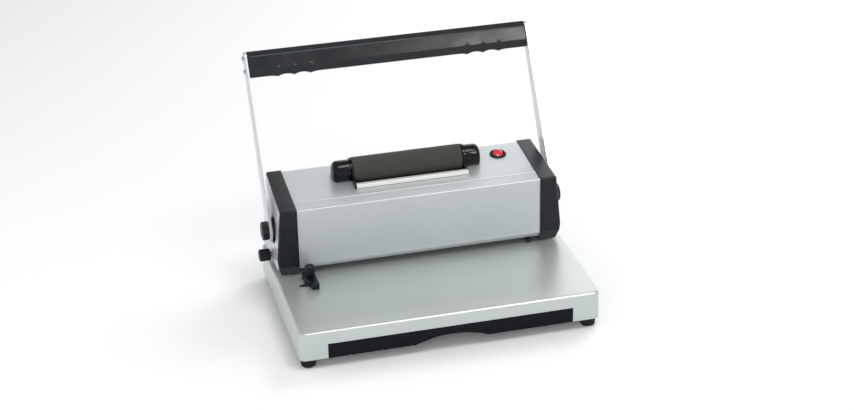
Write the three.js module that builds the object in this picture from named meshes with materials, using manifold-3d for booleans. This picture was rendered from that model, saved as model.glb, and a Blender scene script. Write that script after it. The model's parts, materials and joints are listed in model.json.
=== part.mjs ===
import * as THREE from 'three';
import { mergeVertices } from 'three/addons/utils/BufferGeometryUtils.js';
import Module from 'manifold-3d';

// Hand-lever coil binding punch with a powered foam roller on its head.
// Millimetres, X to the right, Y to the back, Z up, feet on Z 0.
// The origin lies under the middle of the whole machine, lever included.

// Base with its chip drawer
const footHeight = 13;
const footTopRadius = 10.5;
const footBottomRadius = 9.5;
const footInset = 13;
const baseSideReach = 10.5;
const baseRearStep = 0.4;
const baseHeight = 39;
const baseWall = 2;
const baseCornerRadius = 9;
const baseEdgeRadius = 4;
const basePlateThickness = 1.2;
const drawerFrontHeight = 20.4;
const drawerFrontThickness = 3;
const drawerReach = 7.6;
const drawerTrayHeight = 16.5;
const drawerWall = 1.5;
const drawerSideRoom = 4;
const drawerRailRoom = 5;
const fingerArcWidth = 97;
const fingerArcRise = 9;
const fingerPocketDepth = 20;
const drawerRailHeight = 9;
const drawerRailThickness = 2;

// Head: folded covers between two moulded end caps
const headSetback = 156.4;
const headDepth = 110;
const headFrontHeight = 95.6;
const headBackRise = 9.4;
const headLipRise = 8;
const headLipInset = 5.2;
const headBevelHeight = 15.8;
const coverSheet = 1.2;
const foldRadius = 1.6;
const backFoldRadius = 5;
const topSeamSetback = 19.6;
const topRearFlange = 18;
const capLap = 7.7;
const capProud = 1.5;
const capWall = 2.6;
const capTopReach = 15;
const capBulge = 6.4;
const capBulgeHeight = 26;
const capFootReach = 1.5;
const capRearReturn = 9;
const capTaper = 2.5;
const frameRoom = 2;
const sideFrameThickness = 5;
const sideFrameSetback = 7;
const panelRecess = 2;
const panelThickness = 1.5;
const panelSlotWidth = 3;
const panelSlotHeight = 9;
const panelSlotRearRoom = 34;
const panelSlotRise = 61;
const pivotWindowRadius = 18.5;

// Punching mechanism
const holeCount = 59;
const holePitch = 5;
const pinRadius = 2;
const punchSetback = 41.6;
const dieOverhang = 5;
const dieFront = 24;
const dieBack = 50;
const dieThickness = 7.7;
const throatHeight = 2.5;
const guideThickness = 8;
const guideFootLength = 10;
const guideRear = 45;
const bracketLength = 9;
const ramFront = 25;
const ramBack = 44.8;
const ramRise = 24;
const ramHeight = 10;
const ramEndMargin = 6;
const ramEarRoom = 8;
const ramEarHeight = 8;
const ramPostReach = 9;
const ramPostRadius = 5;
const ramPostSetback = 32.5;
const ramPostHeight = 46;
const springWireRadius = 0.7;
const springCoilRadius = 6.8;
const springTurns = 5;
const springSteps = 10;
const springSides = 5;
const rackInset = 31;
const rackWidth = 12;
const rackBackDepth = 8;
const gearModule = 1.5;
const pinionTeeth = 12;
const pinionWidth = 10;
const toothThinning = 0.5;
const toothTipShare = 0.8;
const toothRootShare = 1.1;
const pressureAngle = THREE.MathUtils.degToRad(25);

// Lever, its shaft and the grip bar
const leverLean = THREE.MathUtils.degToRad(31.5);
const pivotSetback = 46.6;
const pivotRise = 49.5;
const shaftRadius = 6;
const armReach = 5;
const armThickness = 4;
const armHubRadius = 15;
const armTipHalfWidth = 8;
const armLength = 243;
const gripBottom = 207;
const gripHeight = 36;
const gripFaceBottom = 8;
const gripFaceTop = 28;
const gripFront = 8;
const gripBack = 7;
const gripRidgePitch = 22.5;
const gripFirstScallop = 28.25;
const gripScallopCount = 4;
const gripScallopDepth = 2.4;
const screwHeadRadius = 3.6;
const screwHeadHeight = 2.2;
const screwShankRadius = 2;
const screwShankLength = 12;
const screwSpacing = 18;
const pivotKnobRadius = 12.5;
const pivotKnobLength = 8.7;
const pivotKnobRing = 3.5;
const pivotKnobRecess = 2.5;
const knobRibDepth = 0.7;
const pivotKnobRibs = 22;
const bearingFlangeRadius = 14.5;
const bearingFlangeThickness = 3.5;
const bearingNoseRadius = 10.5;
const bearingSleeveRadius = 9.2;

// Margin control behind the die
const marginBack = 52.6;
const marginRise = 10.3;
const marginTeeth = 8;
const marginSpindleRadius = 3.5;
const marginKnobRadius = 8.3;
const marginKnobLength = 15.1;
const marginKnobRibs = 18;
const marginKnobRoom = 0.6;
const marginStopInset = 1;
const marginStopThickness = 1.7;
const marginStopFront = 46.1;
const marginStopBack = 66;
const marginRackInset = 11;
const marginRackWidth = 10;

// Edge guide and fixed stop on the base
const sheetEdgeMargin = 4.8;
const guideWidth = 16.5;
const guideFrontReach = 45.4;
const guideHeadRoom = 6.4;
const guideNoseSetback = 32;
const guideNoseShare = 0.45;
const guideHeight = 8.7;
const guidePointerReach = 9;
const guidePointerReachBack = 31.4;
const guidePointerHalfWidth = 3;
const guidePointerHeight = 3;
const guideKnobInset = 7.7;
const guideKnobHeadRoom = 20.4;
const guideKnobRadius = 6.4;
const guideKnobHeight = 14.7;
const guideKnobRibs = 16;
const guideStudRadius = 2.5;
const guideStudLength = 13;
const guideTravelIn = 3;
const guideTravelOut = 6;
const stopWidth = 6.5;
const stopDepth = 19;
const stopHeight = 4.6;
const stopSetback = 3.6;

// Powered foam roller on the sloping top
const rollerRearRoom = 36.5;
const rollerRise = 8;
const rollerRadius = 16.5;
const rollerHalfShare = 0.5325;
const rollerCoreRadius = 9.2;
const axleRadius = 4;
const axleReach = 21.2;
const pulleyGap = 13.8;
const pulleyWidth = 6;
const rollerPulleyRadius = 6.5;
const motorPulleyRadius = 4.5;
const pulleyRim = 1.4;
const pulleyRimWidth = 1;
const beltThickness = 0.9;
const beltWidth = 3.6;
const troughEndGap = 0.6;
const troughEndThickness = 3.5;
const troughFront = 39.2;
const troughEndRadius = 17;
const troughPlateThickness = 1.2;
const troughPlateLift = 0.4;
const troughPlateRear = 57;
const troughPlateKick = 2.2;
const housingGap = 0.4;
const housingLength = 20.8;
const housingRadius = 15;
const housingWall = 2.2;
const housingRound = 7;
const motorRise = 48;
const motorRadius = 17;
const motorGap = 9;
const motorShaftRadius = 2;
const switchInset = 43.8;
const switchRearRoom = 29.6;
const bezelRadius = 11.6;
const bezelHeight = 2;
const bezelLip = 2.2;
const barrelRadius = 10;
const barrelDepth = 16;
const bezelInner = 9.2;
const rockerRadius = 8;
const rockerPivotDrop = 2.4;
const rockerPinRadius = 1.2;
const rockerSlope = THREE.MathUtils.degToRad(9);

// Rear power entry and supply
const inletInset = 47;
const inletRise = 34;
const inletWidth = 27;
const inletHeight = 20;
const inletDepth = 22;
const inletFlange = 3.5;
const inletFlangeThickness = 2;
const inletRecess = 14;
const inletRecessWall = 2.2;
const inletBladeWidth = 2;
const inletBladeHeight = 4;
const inletBladeLength = 9;
const inletBladeSpacing = 7;
const supplyWidth = 70;
const supplyDepth = 26;
const supplyHeight = 30;
const supplyInset = 50;
const supplyRearRoom = 34;

// Shared clearances, cut lengths and facet counts
const fitGap = 0.3;
const overrun = 5;
const weldDistance = 1e-4;
const roundSides = 20;
const smallSides = 10;
const holeSides = 6;
const arcSteps = 4;
const flankSteps = 3;
const wideArcSteps = 7;

// Derived places that several pieces share
const baseTop = footHeight + baseHeight;
const baseDepth = headSetback + headDepth - baseRearStep;
const drawerDepth = headSetback + dieBack + drawerReach;
const rollerBack = headDepth - rollerRearRoom;
const switchBack = headDepth - switchRearRoom;
const panelSlotBack = headDepth - panelSlotRearRoom;
const supplyBack = headDepth - supplyRearRoom;
const guideFront = headSetback - guideFrontReach;
const guideBack = headSetback - guideHeadRoom;
const guidePointerBack = headSetback - guidePointerReachBack;
const guideKnobBack = headSetback - guideKnobHeadRoom;
const stopFront = headSetback + stopSetback;
const punchHalf = (holeCount - 1) / 2 * holePitch;
const ramHalfLength = punchHalf + ramEndMargin;
const ramPost = ramHalfLength + ramPostReach;
const ramEarReach = ramPost + ramEarRoom;
const dieHalfLength = ramEarReach + dieOverhang;
const sideFrameInner = dieHalfLength + frameRoom;
const coverHalfWidth = sideFrameInner - fitGap;
const capInnerEdge = coverHalfWidth - capLap;
const capTopHalfWidth = sideFrameInner + capTopReach;
const capBulgeHalfWidth = capTopHalfWidth + capBulge;
const capFootHalfWidth = capTopHalfWidth + capFootReach;
const armInner = capTopHalfWidth + armReach;
const baseWidth = 2 * (capTopHalfWidth + baseSideReach);
const drawerHalfTray = dieHalfLength - bracketLength - drawerRailRoom;
const drawerWidth = 2 * (drawerHalfTray + drawerSideRoom);
const rackPlace = ramHalfLength - rackInset;
const marginRackPlace = ramHalfLength - marginRackInset;
const marginStopHalfLength = ramHalfLength - marginStopInset;
const guideFaceX = punchHalf + sheetEdgeMargin;
const guideKnobX = guideFaceX + guideKnobInset;
const switchX = sideFrameInner - switchInset;
const inletX = sideFrameInner - inletInset;
const supplyX = supplyInset - sideFrameInner;
const rollerHalfLength = punchHalf * rollerHalfShare;
const troughEndInner = rollerHalfLength + troughEndGap;
const housingInner = troughEndInner + troughEndThickness + housingGap;
const housingOuter = housingInner + housingLength;
const pulleyPlace = rollerHalfLength + pulleyGap;
const axleEnd = rollerHalfLength + axleReach;
const motorInner = pulleyPlace + motorGap;
const headSlope = Math.atan(headBackRise / headDepth);
const topAt = (back) => headFrontHeight + back * Math.tan(headSlope);
const pinionPitchRadius = pinionTeeth * gearModule / 2;
const marginPitchRadius = marginTeeth * gearModule / 2;
const toothPitch = Math.PI * gearModule;
const shaftEnd = armInner + armThickness;
const armOuterSeat = shaftEnd + fitGap;
const frameOuter = sideFrameInner + sideFrameThickness;
const guideBottom = throatHeight;
const guideTop = guideBottom + guideThickness;
const gripMiddle = gripBottom + gripHeight / 2;
const plateTop = footHeight + fitGap + basePlateThickness;
const capFlare = capBulge / (headFrontHeight - capBulgeHeight);
const marginKnobInner = capTopHalfWidth - panelRecess + capFlare * headFrontHeight + marginKnobRoom;

const wasm = await Module();
wasm.setup();

// Solid modelling helpers

function toSolid(geometry) {
  const bare = geometry.clone();
  bare.deleteAttribute('normal');
  bare.deleteAttribute('uv');
  const merged = mergeVertices(bare, weldDistance);
  return new wasm.Manifold(new wasm.Mesh({
    numProp: 3,
    vertProperties: new Float32Array(merged.attributes.position.array),
    triVerts: new Uint32Array(merged.index.array),
  }));
}

function toGeometry(solid) {
  const mesh = solid.getMesh();
  const geometry = new THREE.BufferGeometry();
  geometry.setAttribute('position', new THREE.BufferAttribute(mesh.vertProperties, 3));
  geometry.setIndex(new THREE.BufferAttribute(mesh.triVerts, 1));
  geometry.computeVertexNormals();
  return geometry;
}

function cut(geometry, ...tools) {
  return toGeometry(tools.reduce((solid, tool) => solid.subtract(toSolid(tool)), toSolid(geometry)));
}

function join(geometry, ...others) {
  return toGeometry(others.reduce((solid, other) => solid.add(toSolid(other)), toSolid(geometry)));
}

function common(geometry, ...others) {
  return toGeometry(others.reduce((solid, other) => solid.intersect(toSolid(other)), toSolid(geometry)));
}

// The left-hand copy of a right-hand piece
function mirrored(geometry) {
  const bare = geometry.clone();
  bare.deleteAttribute('uv');
  bare.deleteAttribute('normal');
  const copy = mergeVertices(bare, weldDistance);
  copy.scale(-1, 1, 1);
  const order = copy.index.array;
  for (let i = 0; i < order.length; i += 3) {
    const kept = order[i + 1];
    order[i + 1] = order[i + 2];
    order[i + 2] = kept;
  }
  copy.computeVertexNormals();
  return copy;
}

const alongX = new THREE.Matrix4().makeBasis(
  new THREE.Vector3(0, 1, 0), new THREE.Vector3(0, 0, 1), new THREE.Vector3(1, 0, 0));
const alongY = new THREE.Matrix4().makeBasis(
  new THREE.Vector3(1, 0, 0), new THREE.Vector3(0, 0, 1), new THREE.Vector3(0, -1, 0));

function extruded(outline, from, to, curveSegments = arcSteps) {
  const length = to - from;
  const geometry = new THREE.ExtrudeGeometry(outline, { depth: length, bevelEnabled: false, curveSegments });
  return geometry.translate(0, 0, from);
}

// An outline in Y and Z carried along X
function prismX(outline, from, to, curveSegments) {
  return extruded(outline, from, to, curveSegments).applyMatrix4(alongX);
}

// An outline in X and Z carried along Y
function prismY(outline, from, to, curveSegments) {
  return extruded(outline, -to, -from, curveSegments).applyMatrix4(alongY);
}

// An outline in X and Y carried along Z
function prismZ(outline, from, to) {
  return extruded(outline, from, to);
}

function polygon(points) {
  return new THREE.Shape(points.map(([a, b]) => new THREE.Vector2(a, b)));
}

function rectangle(a0, a1, b0, b1) {
  return polygon([[a0, b0], [a1, b0], [a1, b1], [a0, b1]]);
}

function discPoints(radius, a, b, sides) {
  return Array.from({ length: sides }, (_, i) => {
    const turn = (i + 0.5) * 2 * Math.PI / sides;
    return [a + radius * Math.cos(turn), b + radius * Math.sin(turn)];
  });
}

function disc(radius, a, b, sides = roundSides) {
  return polygon(discPoints(radius, a, b, sides));
}

// A faceted hole whose flats, not its corners, lie on the radius
function bore(radius, a, b, sides = roundSides) {
  return disc(radius / Math.cos(Math.PI / sides), a, b, sides);
}

function roundedRectangle(a0, a1, b0, b1, radius) {
  const shape = new THREE.Shape();
  shape.absarc(a1 - radius, b0 + radius, radius, -Math.PI / 2, 0);
  shape.absarc(a1 - radius, b1 - radius, radius, 0, Math.PI / 2);
  shape.absarc(a0 + radius, b1 - radius, radius, Math.PI / 2, Math.PI);
  shape.absarc(a0 + radius, b0 + radius, radius, Math.PI, 3 * Math.PI / 2);
  shape.closePath();
  return shape;
}

// A ribbed knob outline: the radius swings between rib tops and grooves
function ribbedDisc(radius, depth, ribs, a, b) {
  const points = Array.from({ length: ribs * 2 }, (_, i) => {
    const reach = i % 2 === 0 ? radius : radius - depth;
    const turn = i * Math.PI / ribs;
    return [a + reach * Math.cos(turn), b + reach * Math.sin(turn)];
  });
  return polygon(points);
}

// A line whose inner corners are replaced with short arcs
function softened(points, radii) {
  const line = [];
  points.forEach((point, i) => {
    const corner = new THREE.Vector2(...point);
    const radius = radii[i];
    if (!radius) {
      line.push(corner);
      return;
    }
    const before = new THREE.Vector2(...points[i - 1]).sub(corner).normalize();
    const after = new THREE.Vector2(...points[i + 1]).sub(corner).normalize();
    const start = corner.clone().addScaledVector(before, radius);
    const end = corner.clone().addScaledVector(after, radius);
    const curve = new THREE.QuadraticBezierCurve(start, corner, end);
    line.push(...curve.getPoints(arcSteps));
  });
  return line;
}

// The line moved sideways by a distance, to its right hand when positive
function beside(line, distance) {
  return line.map((point, i) => {
    const before = line[Math.max(i - 1, 0)];
    const after = line[Math.min(i + 1, line.length - 1)];
    const ahead = i < line.length - 1 ? after.clone().sub(point).normalize() : point.clone().sub(before).normalize();
    const behind = i > 0 ? point.clone().sub(before).normalize() : ahead.clone();
    const mean = ahead.clone().add(behind).normalize();
    const side = new THREE.Vector2(mean.y, -mean.x);
    const reach = distance / Math.max(mean.dot(ahead), 0.3);
    return point.clone().addScaledVector(side, reach);
  });
}

// A folded sheet: the line is its outer face, the thickness lies to the right of travel
function foldedSheet(line, thickness) {
  return new THREE.Shape([...line, ...beside(line, thickness).reverse()]);
}

// A body of revolution round X from [x, radius] pairs
function turnedX(profile, sides = roundSides) {
  const points = profile.map(([x, radius]) => new THREE.Vector2(radius, x));
  const geometry = new THREE.LatheGeometry(points, sides);
  return geometry.rotateZ(-Math.PI / 2);
}

// A body of revolution round Z from [radius, z] pairs
function turnedZ(profile, sides = roundSides) {
  const points = profile.map(([radius, z]) => new THREE.Vector2(radius, z));
  const geometry = new THREE.LatheGeometry(points, sides);
  return geometry.rotateX(Math.PI / 2);
}

// Gear outline with involute flanks; one tooth points along the first axis
function gearOutline(teeth, a, b) {
  const pitch = teeth * gearModule / 2;
  const rollRadius = pitch * Math.cos(pressureAngle);
  const tip = pitch + gearModule * toothTipShare;
  const root = pitch - gearModule * toothRootShare;
  const involute = (angle) => Math.tan(angle) - angle;
  const halfAtPitch = Math.PI / (2 * teeth) - toothThinning / (2 * pitch);
  const halfAt = (radius) => {
    const bounded = Math.min(rollRadius / Math.max(radius, rollRadius), 1);
    return halfAtPitch + involute(pressureAngle) - involute(Math.acos(bounded));
  };
  const flankRadii = Array.from({ length: flankSteps }, (_, i) =>
    rollRadius + (tip - rollRadius) * i / (flankSteps - 1));
  const radii = [root, ...flankRadii];
  const points = [];
  for (let tooth = 0; tooth < teeth; tooth += 1) {
    const middle = tooth * 2 * Math.PI / teeth;
    radii.forEach((radius) => points.push([radius, middle - halfAt(radius)]));
    [...radii].reverse().forEach((radius) => points.push([radius, middle + halfAt(radius)]));
  }
  return polygon(points.map(([radius, turn]) => [a + radius * Math.cos(turn), b + radius * Math.sin(turn)]));
}

// Rack edge as [along, out] pairs: gaps lie at whole pitches, teeth between them
function rackEdge(firstTooth, lastTooth) {
  const lean = Math.tan(pressureAngle);
  const half = toothPitch / 4 - toothThinning / 2;
  const tip = gearModule * toothTipShare;
  const root = -gearModule * toothRootShare;
  const points = [];
  for (let tooth = firstTooth; tooth <= lastTooth; tooth += 1) {
    const middle = (tooth + 0.5) * toothPitch;
    points.push([middle - half + root * lean, root]);
    points.push([middle - half + tip * lean, tip]);
    points.push([middle + half - tip * lean, tip]);
    points.push([middle + half - root * lean, root]);
  }
  return points;
}

// Materials

function finish(color, roughness, metalness) {
  return () => new THREE.MeshStandardMaterial({ color, roughness, metalness });
}

const silverPaint = finish(0xafb9b8, 0.42, 0.35);
const basePaint = finish(0xa9b5b1, 0.45, 0.3);
const blackPlastic = finish(0x202327, 0.5, 0);
const glossBlack = finish(0x101318, 0.15, 0);
const drawerBlack = finish(0x171b22, 0.3, 0);
const blackRubber = finish(0x141414, 0.85, 0);
const brightSteel = finish(0xc9ccce, 0.3, 0.9);
const sidePaint = finish(0xb5b7bd, 0.4, 0.5);
const darkSteel = finish(0x2c2f33, 0.5, 0.7);
const toolSteel = finish(0x8c9094, 0.35, 0.9);
const foam = finish(0x4b4a44, 0.95, 0);
const redLens = finish(0xd0162c, 0.12, 0);
const boardBox = finish(0x6f7478, 0.6, 0.6);

const machine = new THREE.Group();
const base = new THREE.Group();
const head = new THREE.Group();
const slopingTop = new THREE.Group();
const lever = new THREE.Group();
machine.add(base, head);
head.add(slopingTop, lever);
head.position.set(0, headSetback, baseTop);
slopingTop.position.set(0, 0, headFrontHeight);
slopingTop.rotation.x = headSlope;
lever.position.set(0, pivotSetback, pivotRise);
lever.rotation.x = -leverLean;

function addPiece(group, name, geometry, material) {
  const piece = new THREE.Mesh(geometry, material());
  piece.name = name;
  group.add(piece);
  return piece;
}

function addPair(group, name, geometry, material) {
  addPiece(group, `${name}_right`, geometry, material);
  addPiece(group, `${name}_left`, mirrored(geometry), material);
}

// Base

function makeBaseShell() {
  const half = baseWidth / 2;
  const outline = roundedRectangle(-half, half, 0, baseDepth, baseCornerRadius);
  const raised = new THREE.ExtrudeGeometry(outline, {
    depth: baseHeight,
    bevelEnabled: true,
    bevelSize: baseEdgeRadius,
    bevelOffset: -baseEdgeRadius,
    bevelThickness: baseEdgeRadius,
    bevelSegments: 3,
    curveSegments: arcSteps,
  }).translate(0, 0, footHeight - baseEdgeRadius);
  const inner = roundedRectangle(-half + baseWall, half - baseWall, baseWall, baseDepth - baseWall,
    baseCornerRadius - baseWall);
  const skirtless = rectangle(-baseWidth, baseWidth, -baseDepth, 2 * baseDepth);
  const bay = rectangle(-drawerWidth / 2 - fitGap, drawerWidth / 2 + fitGap,
    footHeight - overrun, footHeight + drawerFrontHeight + fitGap);
  const dieSlot = rectangle(-dieHalfLength - fitGap, dieHalfLength + fitGap,
    headSetback + dieFront - fitGap, headSetback + dieBack + fitGap);
  const studRoom = guideStudRadius + fitGap;
  const studSlot = rectangle(-guideKnobX - guideTravelOut - studRoom, -guideKnobX + guideTravelIn + studRoom,
    guideKnobBack - studRoom, guideKnobBack + studRoom);
  return cut(raised,
    prismZ(skirtless, footHeight - baseHeight, footHeight),
    prismZ(inner, footHeight - overrun, baseTop - baseWall),
    prismY(bay, -overrun, baseWall + overrun),
    prismZ(dieSlot, footHeight, baseTop + overrun),
    prismZ(studSlot, footHeight, baseTop + overrun));
}

// Bottom plate with upturned drawer rails and a notch behind the finger arc
function makeBasePlate() {
  const half = baseWidth / 2 - baseWall - fitGap;
  const front = drawerFrontThickness + 2 * fitGap;
  const outline = roundedRectangle(-half, half, baseWall + fitGap, baseDepth - baseWall - fitGap,
    baseCornerRadius - baseWall - fitGap);
  const flat = prismZ(outline, footHeight + fitGap, plateTop);
  const frontBand = prismZ(rectangle(-baseWidth, baseWidth, -overrun, front), 0, baseTop);
  const notch = prismZ(rectangle(-fingerArcWidth / 2, fingerArcWidth / 2, front - overrun,
    front + fingerPocketDepth), 0, baseTop);
  const railInner = drawerHalfTray + fitGap;
  const rails = [-1, 1].map((side) => {
    const a = side * railInner;
    const b = side * (railInner + drawerRailThickness);
    return prismZ(rectangle(Math.min(a, b), Math.max(a, b), front, drawerDepth),
      plateTop - basePlateThickness, plateTop + drawerRailHeight);
  });
  return join(cut(flat, frontBand, notch), ...rails);
}

function makeFoot() {
  const shoulder = footHeight / 4;
  return turnedZ([[0, 0], [footBottomRadius, 0], [footTopRadius, shoulder], [footTopRadius, footHeight],
    [0, footHeight]], smallSides + holeSides);
}

function addFeet() {
  const across = baseWidth / 2 - footInset;
  const places = { front: footInset, rear: baseDepth - footInset };
  Object.entries(places).forEach(([row, back]) => {
    ['left', 'right'].forEach((side) => {
      const foot = addPiece(base, `foot_${row}_${side}`, makeFoot(), blackRubber);
      foot.position.set(side === 'left' ? -across : across, back, 0);
    });
  });
}

// The tray in plan: its front wall steps back behind the finger arc
function trayOutline(inset) {
  const half = drawerHalfTray - inset;
  const pocket = fingerArcWidth / 2 + drawerWall + inset;
  const front = drawerFrontThickness + inset;
  const pocketBack = drawerFrontThickness + fingerPocketDepth + inset;
  const back = drawerDepth - inset;
  return polygon([[-half, front], [-pocket, front], [-pocket, pocketBack], [pocket, pocketBack],
    [pocket, front], [half, front], [half, back], [-half, back]]);
}

function makeDrawer() {
  const floor = plateTop + fitGap;
  const tray = cut(prismZ(trayOutline(0), floor, floor + drawerTrayHeight),
    prismZ(trayOutline(drawerWall), floor + drawerWall, floor + drawerTrayHeight + overrun));
  const arcRadius = ((fingerArcWidth / 2) ** 2 + fingerArcRise ** 2) / (2 * fingerArcRise);
  const frontBottom = footHeight;
  const halfAngle = Math.asin(fingerArcWidth / 2 / arcRadius);
  const face = new THREE.Shape();
  face.absarc(0, frontBottom + fingerArcRise - arcRadius, arcRadius,
    Math.PI / 2 + halfAngle, Math.PI / 2 - halfAngle, true);
  face.lineTo(drawerWidth / 2, frontBottom);
  face.lineTo(drawerWidth / 2, frontBottom + drawerFrontHeight);
  face.lineTo(-drawerWidth / 2, frontBottom + drawerFrontHeight);
  face.lineTo(-drawerWidth / 2, frontBottom);
  face.closePath();
  const front = prismY(face, fitGap, drawerFrontThickness + fitGap / 2, wideArcSteps);
  return join(tray, front);
}

// Head covers

function makeFrontCover() {
  const seam = topSeamSetback;
  const line = softened([[headLipInset, headLipRise], [0, headBevelHeight], [0, headFrontHeight],
    [seam, topAt(seam)]], [0, foldRadius, foldRadius, 0]);
  return prismX(foldedSheet(line, coverSheet), -coverHalfWidth, coverHalfWidth);
}

function makeTopCover() {
  const seam = topSeamSetback + fitGap;
  const line = softened([[seam, topAt(seam)], [headDepth, topAt(headDepth)],
    [headDepth, topAt(headDepth) - topRearFlange]], [0, backFoldRadius, 0]);
  const sheet = prismX(foldedSheet(line, coverSheet), -coverHalfWidth, coverHalfWidth);
  const tilt = new THREE.Matrix4().makeRotationX(headSlope);
  const lift = new THREE.Matrix4().makeTranslation(0, 0, headFrontHeight);
  const onTop = (geometry) => geometry.applyMatrix4(tilt).applyMatrix4(lift);
  const rollerHalfGap = Math.sqrt(rollerRadius ** 2 - rollerRise ** 2) + 3 * fitGap;
  const wells = rectangle(-rollerHalfLength - fitGap, rollerHalfLength + fitGap,
    rollerBack - rollerHalfGap, rollerBack + rollerHalfGap);
  const beltHalf = rollerPulleyRadius + 2 * pulleyRim;
  const beltWell = rectangle(pulleyPlace - pulleyWidth, pulleyPlace + pulleyWidth,
    rollerBack - beltHalf, rollerBack + beltHalf);
  const switchWell = bore(barrelRadius + fitGap, switchX, switchBack);
  const through = [wells, beltWell, switchWell].map((outline) => onTop(prismZ(outline, -overrun, overrun)));
  return cut(sheet, ...through);
}

function makeRearCover() {
  const top = topAt(headDepth) - topRearFlange - fitGap;
  const sheet = prismY(rectangle(-coverHalfWidth, coverHalfWidth, fitGap, top), headDepth - coverSheet, headDepth);
  const inletHalf = inletWidth / 2 + fitGap;
  const window = rectangle(inletX - inletHalf, inletX + inletHalf,
    inletRise - inletHeight / 2 - fitGap, inletRise + inletHeight / 2 + fitGap);
  return cut(sheet, prismY(window, headDepth - overrun, headDepth + overrun));
}

// The outer corners of a moulded end cap in Y and Z, from its lip over the top
function capCorners() {
  const back = headDepth + capProud;
  return [[headLipInset - capProud, headLipRise], [-capProud, headBevelHeight],
    [-capProud, headFrontHeight + capProud], [back, topAt(headDepth) + capProud],
    [back, topAt(headDepth) - capRearReturn]];
}

// The cap swells outward towards the base, then turns in at its foot
function capFace() {
  const low = headBevelHeight;
  return polygon([[capInnerEdge, -overrun], [capFootHalfWidth, -overrun], [capFootHalfWidth, headLipRise],
    [capBulgeHalfWidth - capFlare * (capBulgeHeight - low), low], [capBulgeHalfWidth, capBulgeHeight],
    [capTopHalfWidth, headFrontHeight], [capTopHalfWidth, topAt(headDepth) + overrun],
    [capInnerEdge, topAt(headDepth) + overrun]]);
}

function makeEndCap() {
  const line = softened(capCorners(), [0, foldRadius, foldRadius, backFoldRadius, 0]);
  const outerReach = capBulgeHalfWidth + overrun;
  const thinWall = capProud - 2 * fitGap;
  const wide = prismX(foldedSheet(line, capWall), coverHalfWidth + fitGap, outerReach);
  const lap = prismX(foldedSheet(line, thinWall), capInnerEdge, coverHalfWidth + 2 * fitGap);
  const face = prismY(capFace(), -overrun, headDepth + overrun);
  const plan = prismZ(polygon([[0, -overrun], [outerReach, -overrun], [outerReach, 0],
    [outerReach - overrun - capTaper, headDepth + overrun], [0, headDepth + overrun]]), 0, 2 * headFrontHeight);
  return common(join(wide, lap), face, plan);
}

// Steel frame plate that carries the shaft bearing
function makeSideFrame() {
  const drop = capWall - capProud + 2 * fitGap;
  const front = sideFrameSetback;
  const back = headDepth - coverSheet - 2 * fitGap;
  const outline = polygon([[front, fitGap], [back, fitGap], [back, topAt(back) - drop - backFoldRadius],
    [back - backFoldRadius, topAt(back - backFoldRadius) - drop], [front, topAt(front) - drop]]);
  const plate = prismX(outline, sideFrameInner, frameOuter);
  return cut(plate,
    prismX(bore(bearingSleeveRadius + fitGap, pivotSetback, pivotRise), 0, 2 * frameOuter),
    prismX(bore(marginSpindleRadius + fitGap, marginBack, marginRise, smallSides), 0, 2 * frameOuter));
}

// Thin outer panel inside the cap's rim, leaning out towards the base
function makeSidePanel() {
  const offset = beside(capCorners().map(([y, z]) => new THREE.Vector2(y, z)), capWall + fitGap);
  const rim = softened(offset.map((point) => point.toArray()), [0, 0, 0, backFoldRadius, 0]);
  const rimEnd = rim[rim.length - 1];
  const corners = [[headDepth, rimEnd.y - fitGap], [headDepth, headLipRise]].map(([y, z]) => new THREE.Vector2(y, z));
  const outline = new THREE.Shape([...rim, new THREE.Vector2(rimEnd.x, rimEnd.y - fitGap), ...corners]);
  const reach = (height) => capTopHalfWidth - panelRecess + capFlare * (headFrontHeight - height);
  const low = -overrun;
  const high = topAt(headDepth) + overrun;
  const slab = polygon([[reach(low) - panelThickness, low], [reach(low), low], [reach(high), high],
    [reach(high) - panelThickness, high]]);
  const window = disc(pivotWindowRadius, pivotSetback, pivotRise);
  const spindleHole = bore(marginSpindleRadius + fitGap, marginBack, marginRise, smallSides);
  const slot = rectangle(panelSlotBack - panelSlotWidth / 2, panelSlotBack + panelSlotWidth / 2,
    panelSlotRise - panelSlotHeight / 2, panelSlotRise + panelSlotHeight / 2);
  const panel = common(prismX(outline, frameOuter, capBulgeHalfWidth + overrun), prismY(slab, 0, headDepth));
  return cut(panel, ...[window, spindleHole, slot].map((hole) =>
    prismX(hole, frameOuter - overrun, capBulgeHalfWidth + overrun)));
}

// Punch: die, pin guide, ram with its pins, posts and springs

function pinPlaces() {
  return Array.from({ length: holeCount }, (_, i) => (i - (holeCount - 1) / 2) * holePitch);
}

function drilledPlate(back, from, to) {
  const outline = rectangle(-dieHalfLength, dieHalfLength, dieFront, back);
  pinPlaces().forEach((x) => {
    const hole = new THREE.Path(discPoints(pinRadius + fitGap, x, punchSetback, holeSides)
      .map(([a, b]) => new THREE.Vector2(a, b)));
    outline.holes.push(hole);
  });
  return prismZ(outline, from, to);
}

function makeDie() {
  return drilledPlate(dieBack, -dieThickness, 0);
}

function makePinGuide() {
  const plate = drilledPlate(guideRear, guideBottom, guideTop);
  const feet = [-1, 1].map((side) => {
    const a = side * dieHalfLength;
    const b = side * (dieHalfLength - guideFootLength);
    return prismZ(rectangle(Math.min(a, b), Math.max(a, b), dieFront, guideRear), fitGap, guideBottom + fitGap);
  });
  return join(plate, ...feet);
}

function makeDieBracket() {
  const outer = dieHalfLength;
  const bottom = plateTop + fitGap - baseTop;
  return prismZ(rectangle(outer - bracketLength, outer, dieFront, dieBack), bottom, -dieThickness - fitGap);
}

function makeRamPost() {
  const top = ramPostHeight;
  return turnedZ([[0, guideTop + fitGap], [ramPostRadius, guideTop + fitGap], [ramPostRadius, top - 1.5 * fitGap],
    [ramPostRadius - 1.5 * fitGap, top], [0, top]], smallSides + holeSides)
    .translate(ramPost, ramPostSetback, 0);
}

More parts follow.
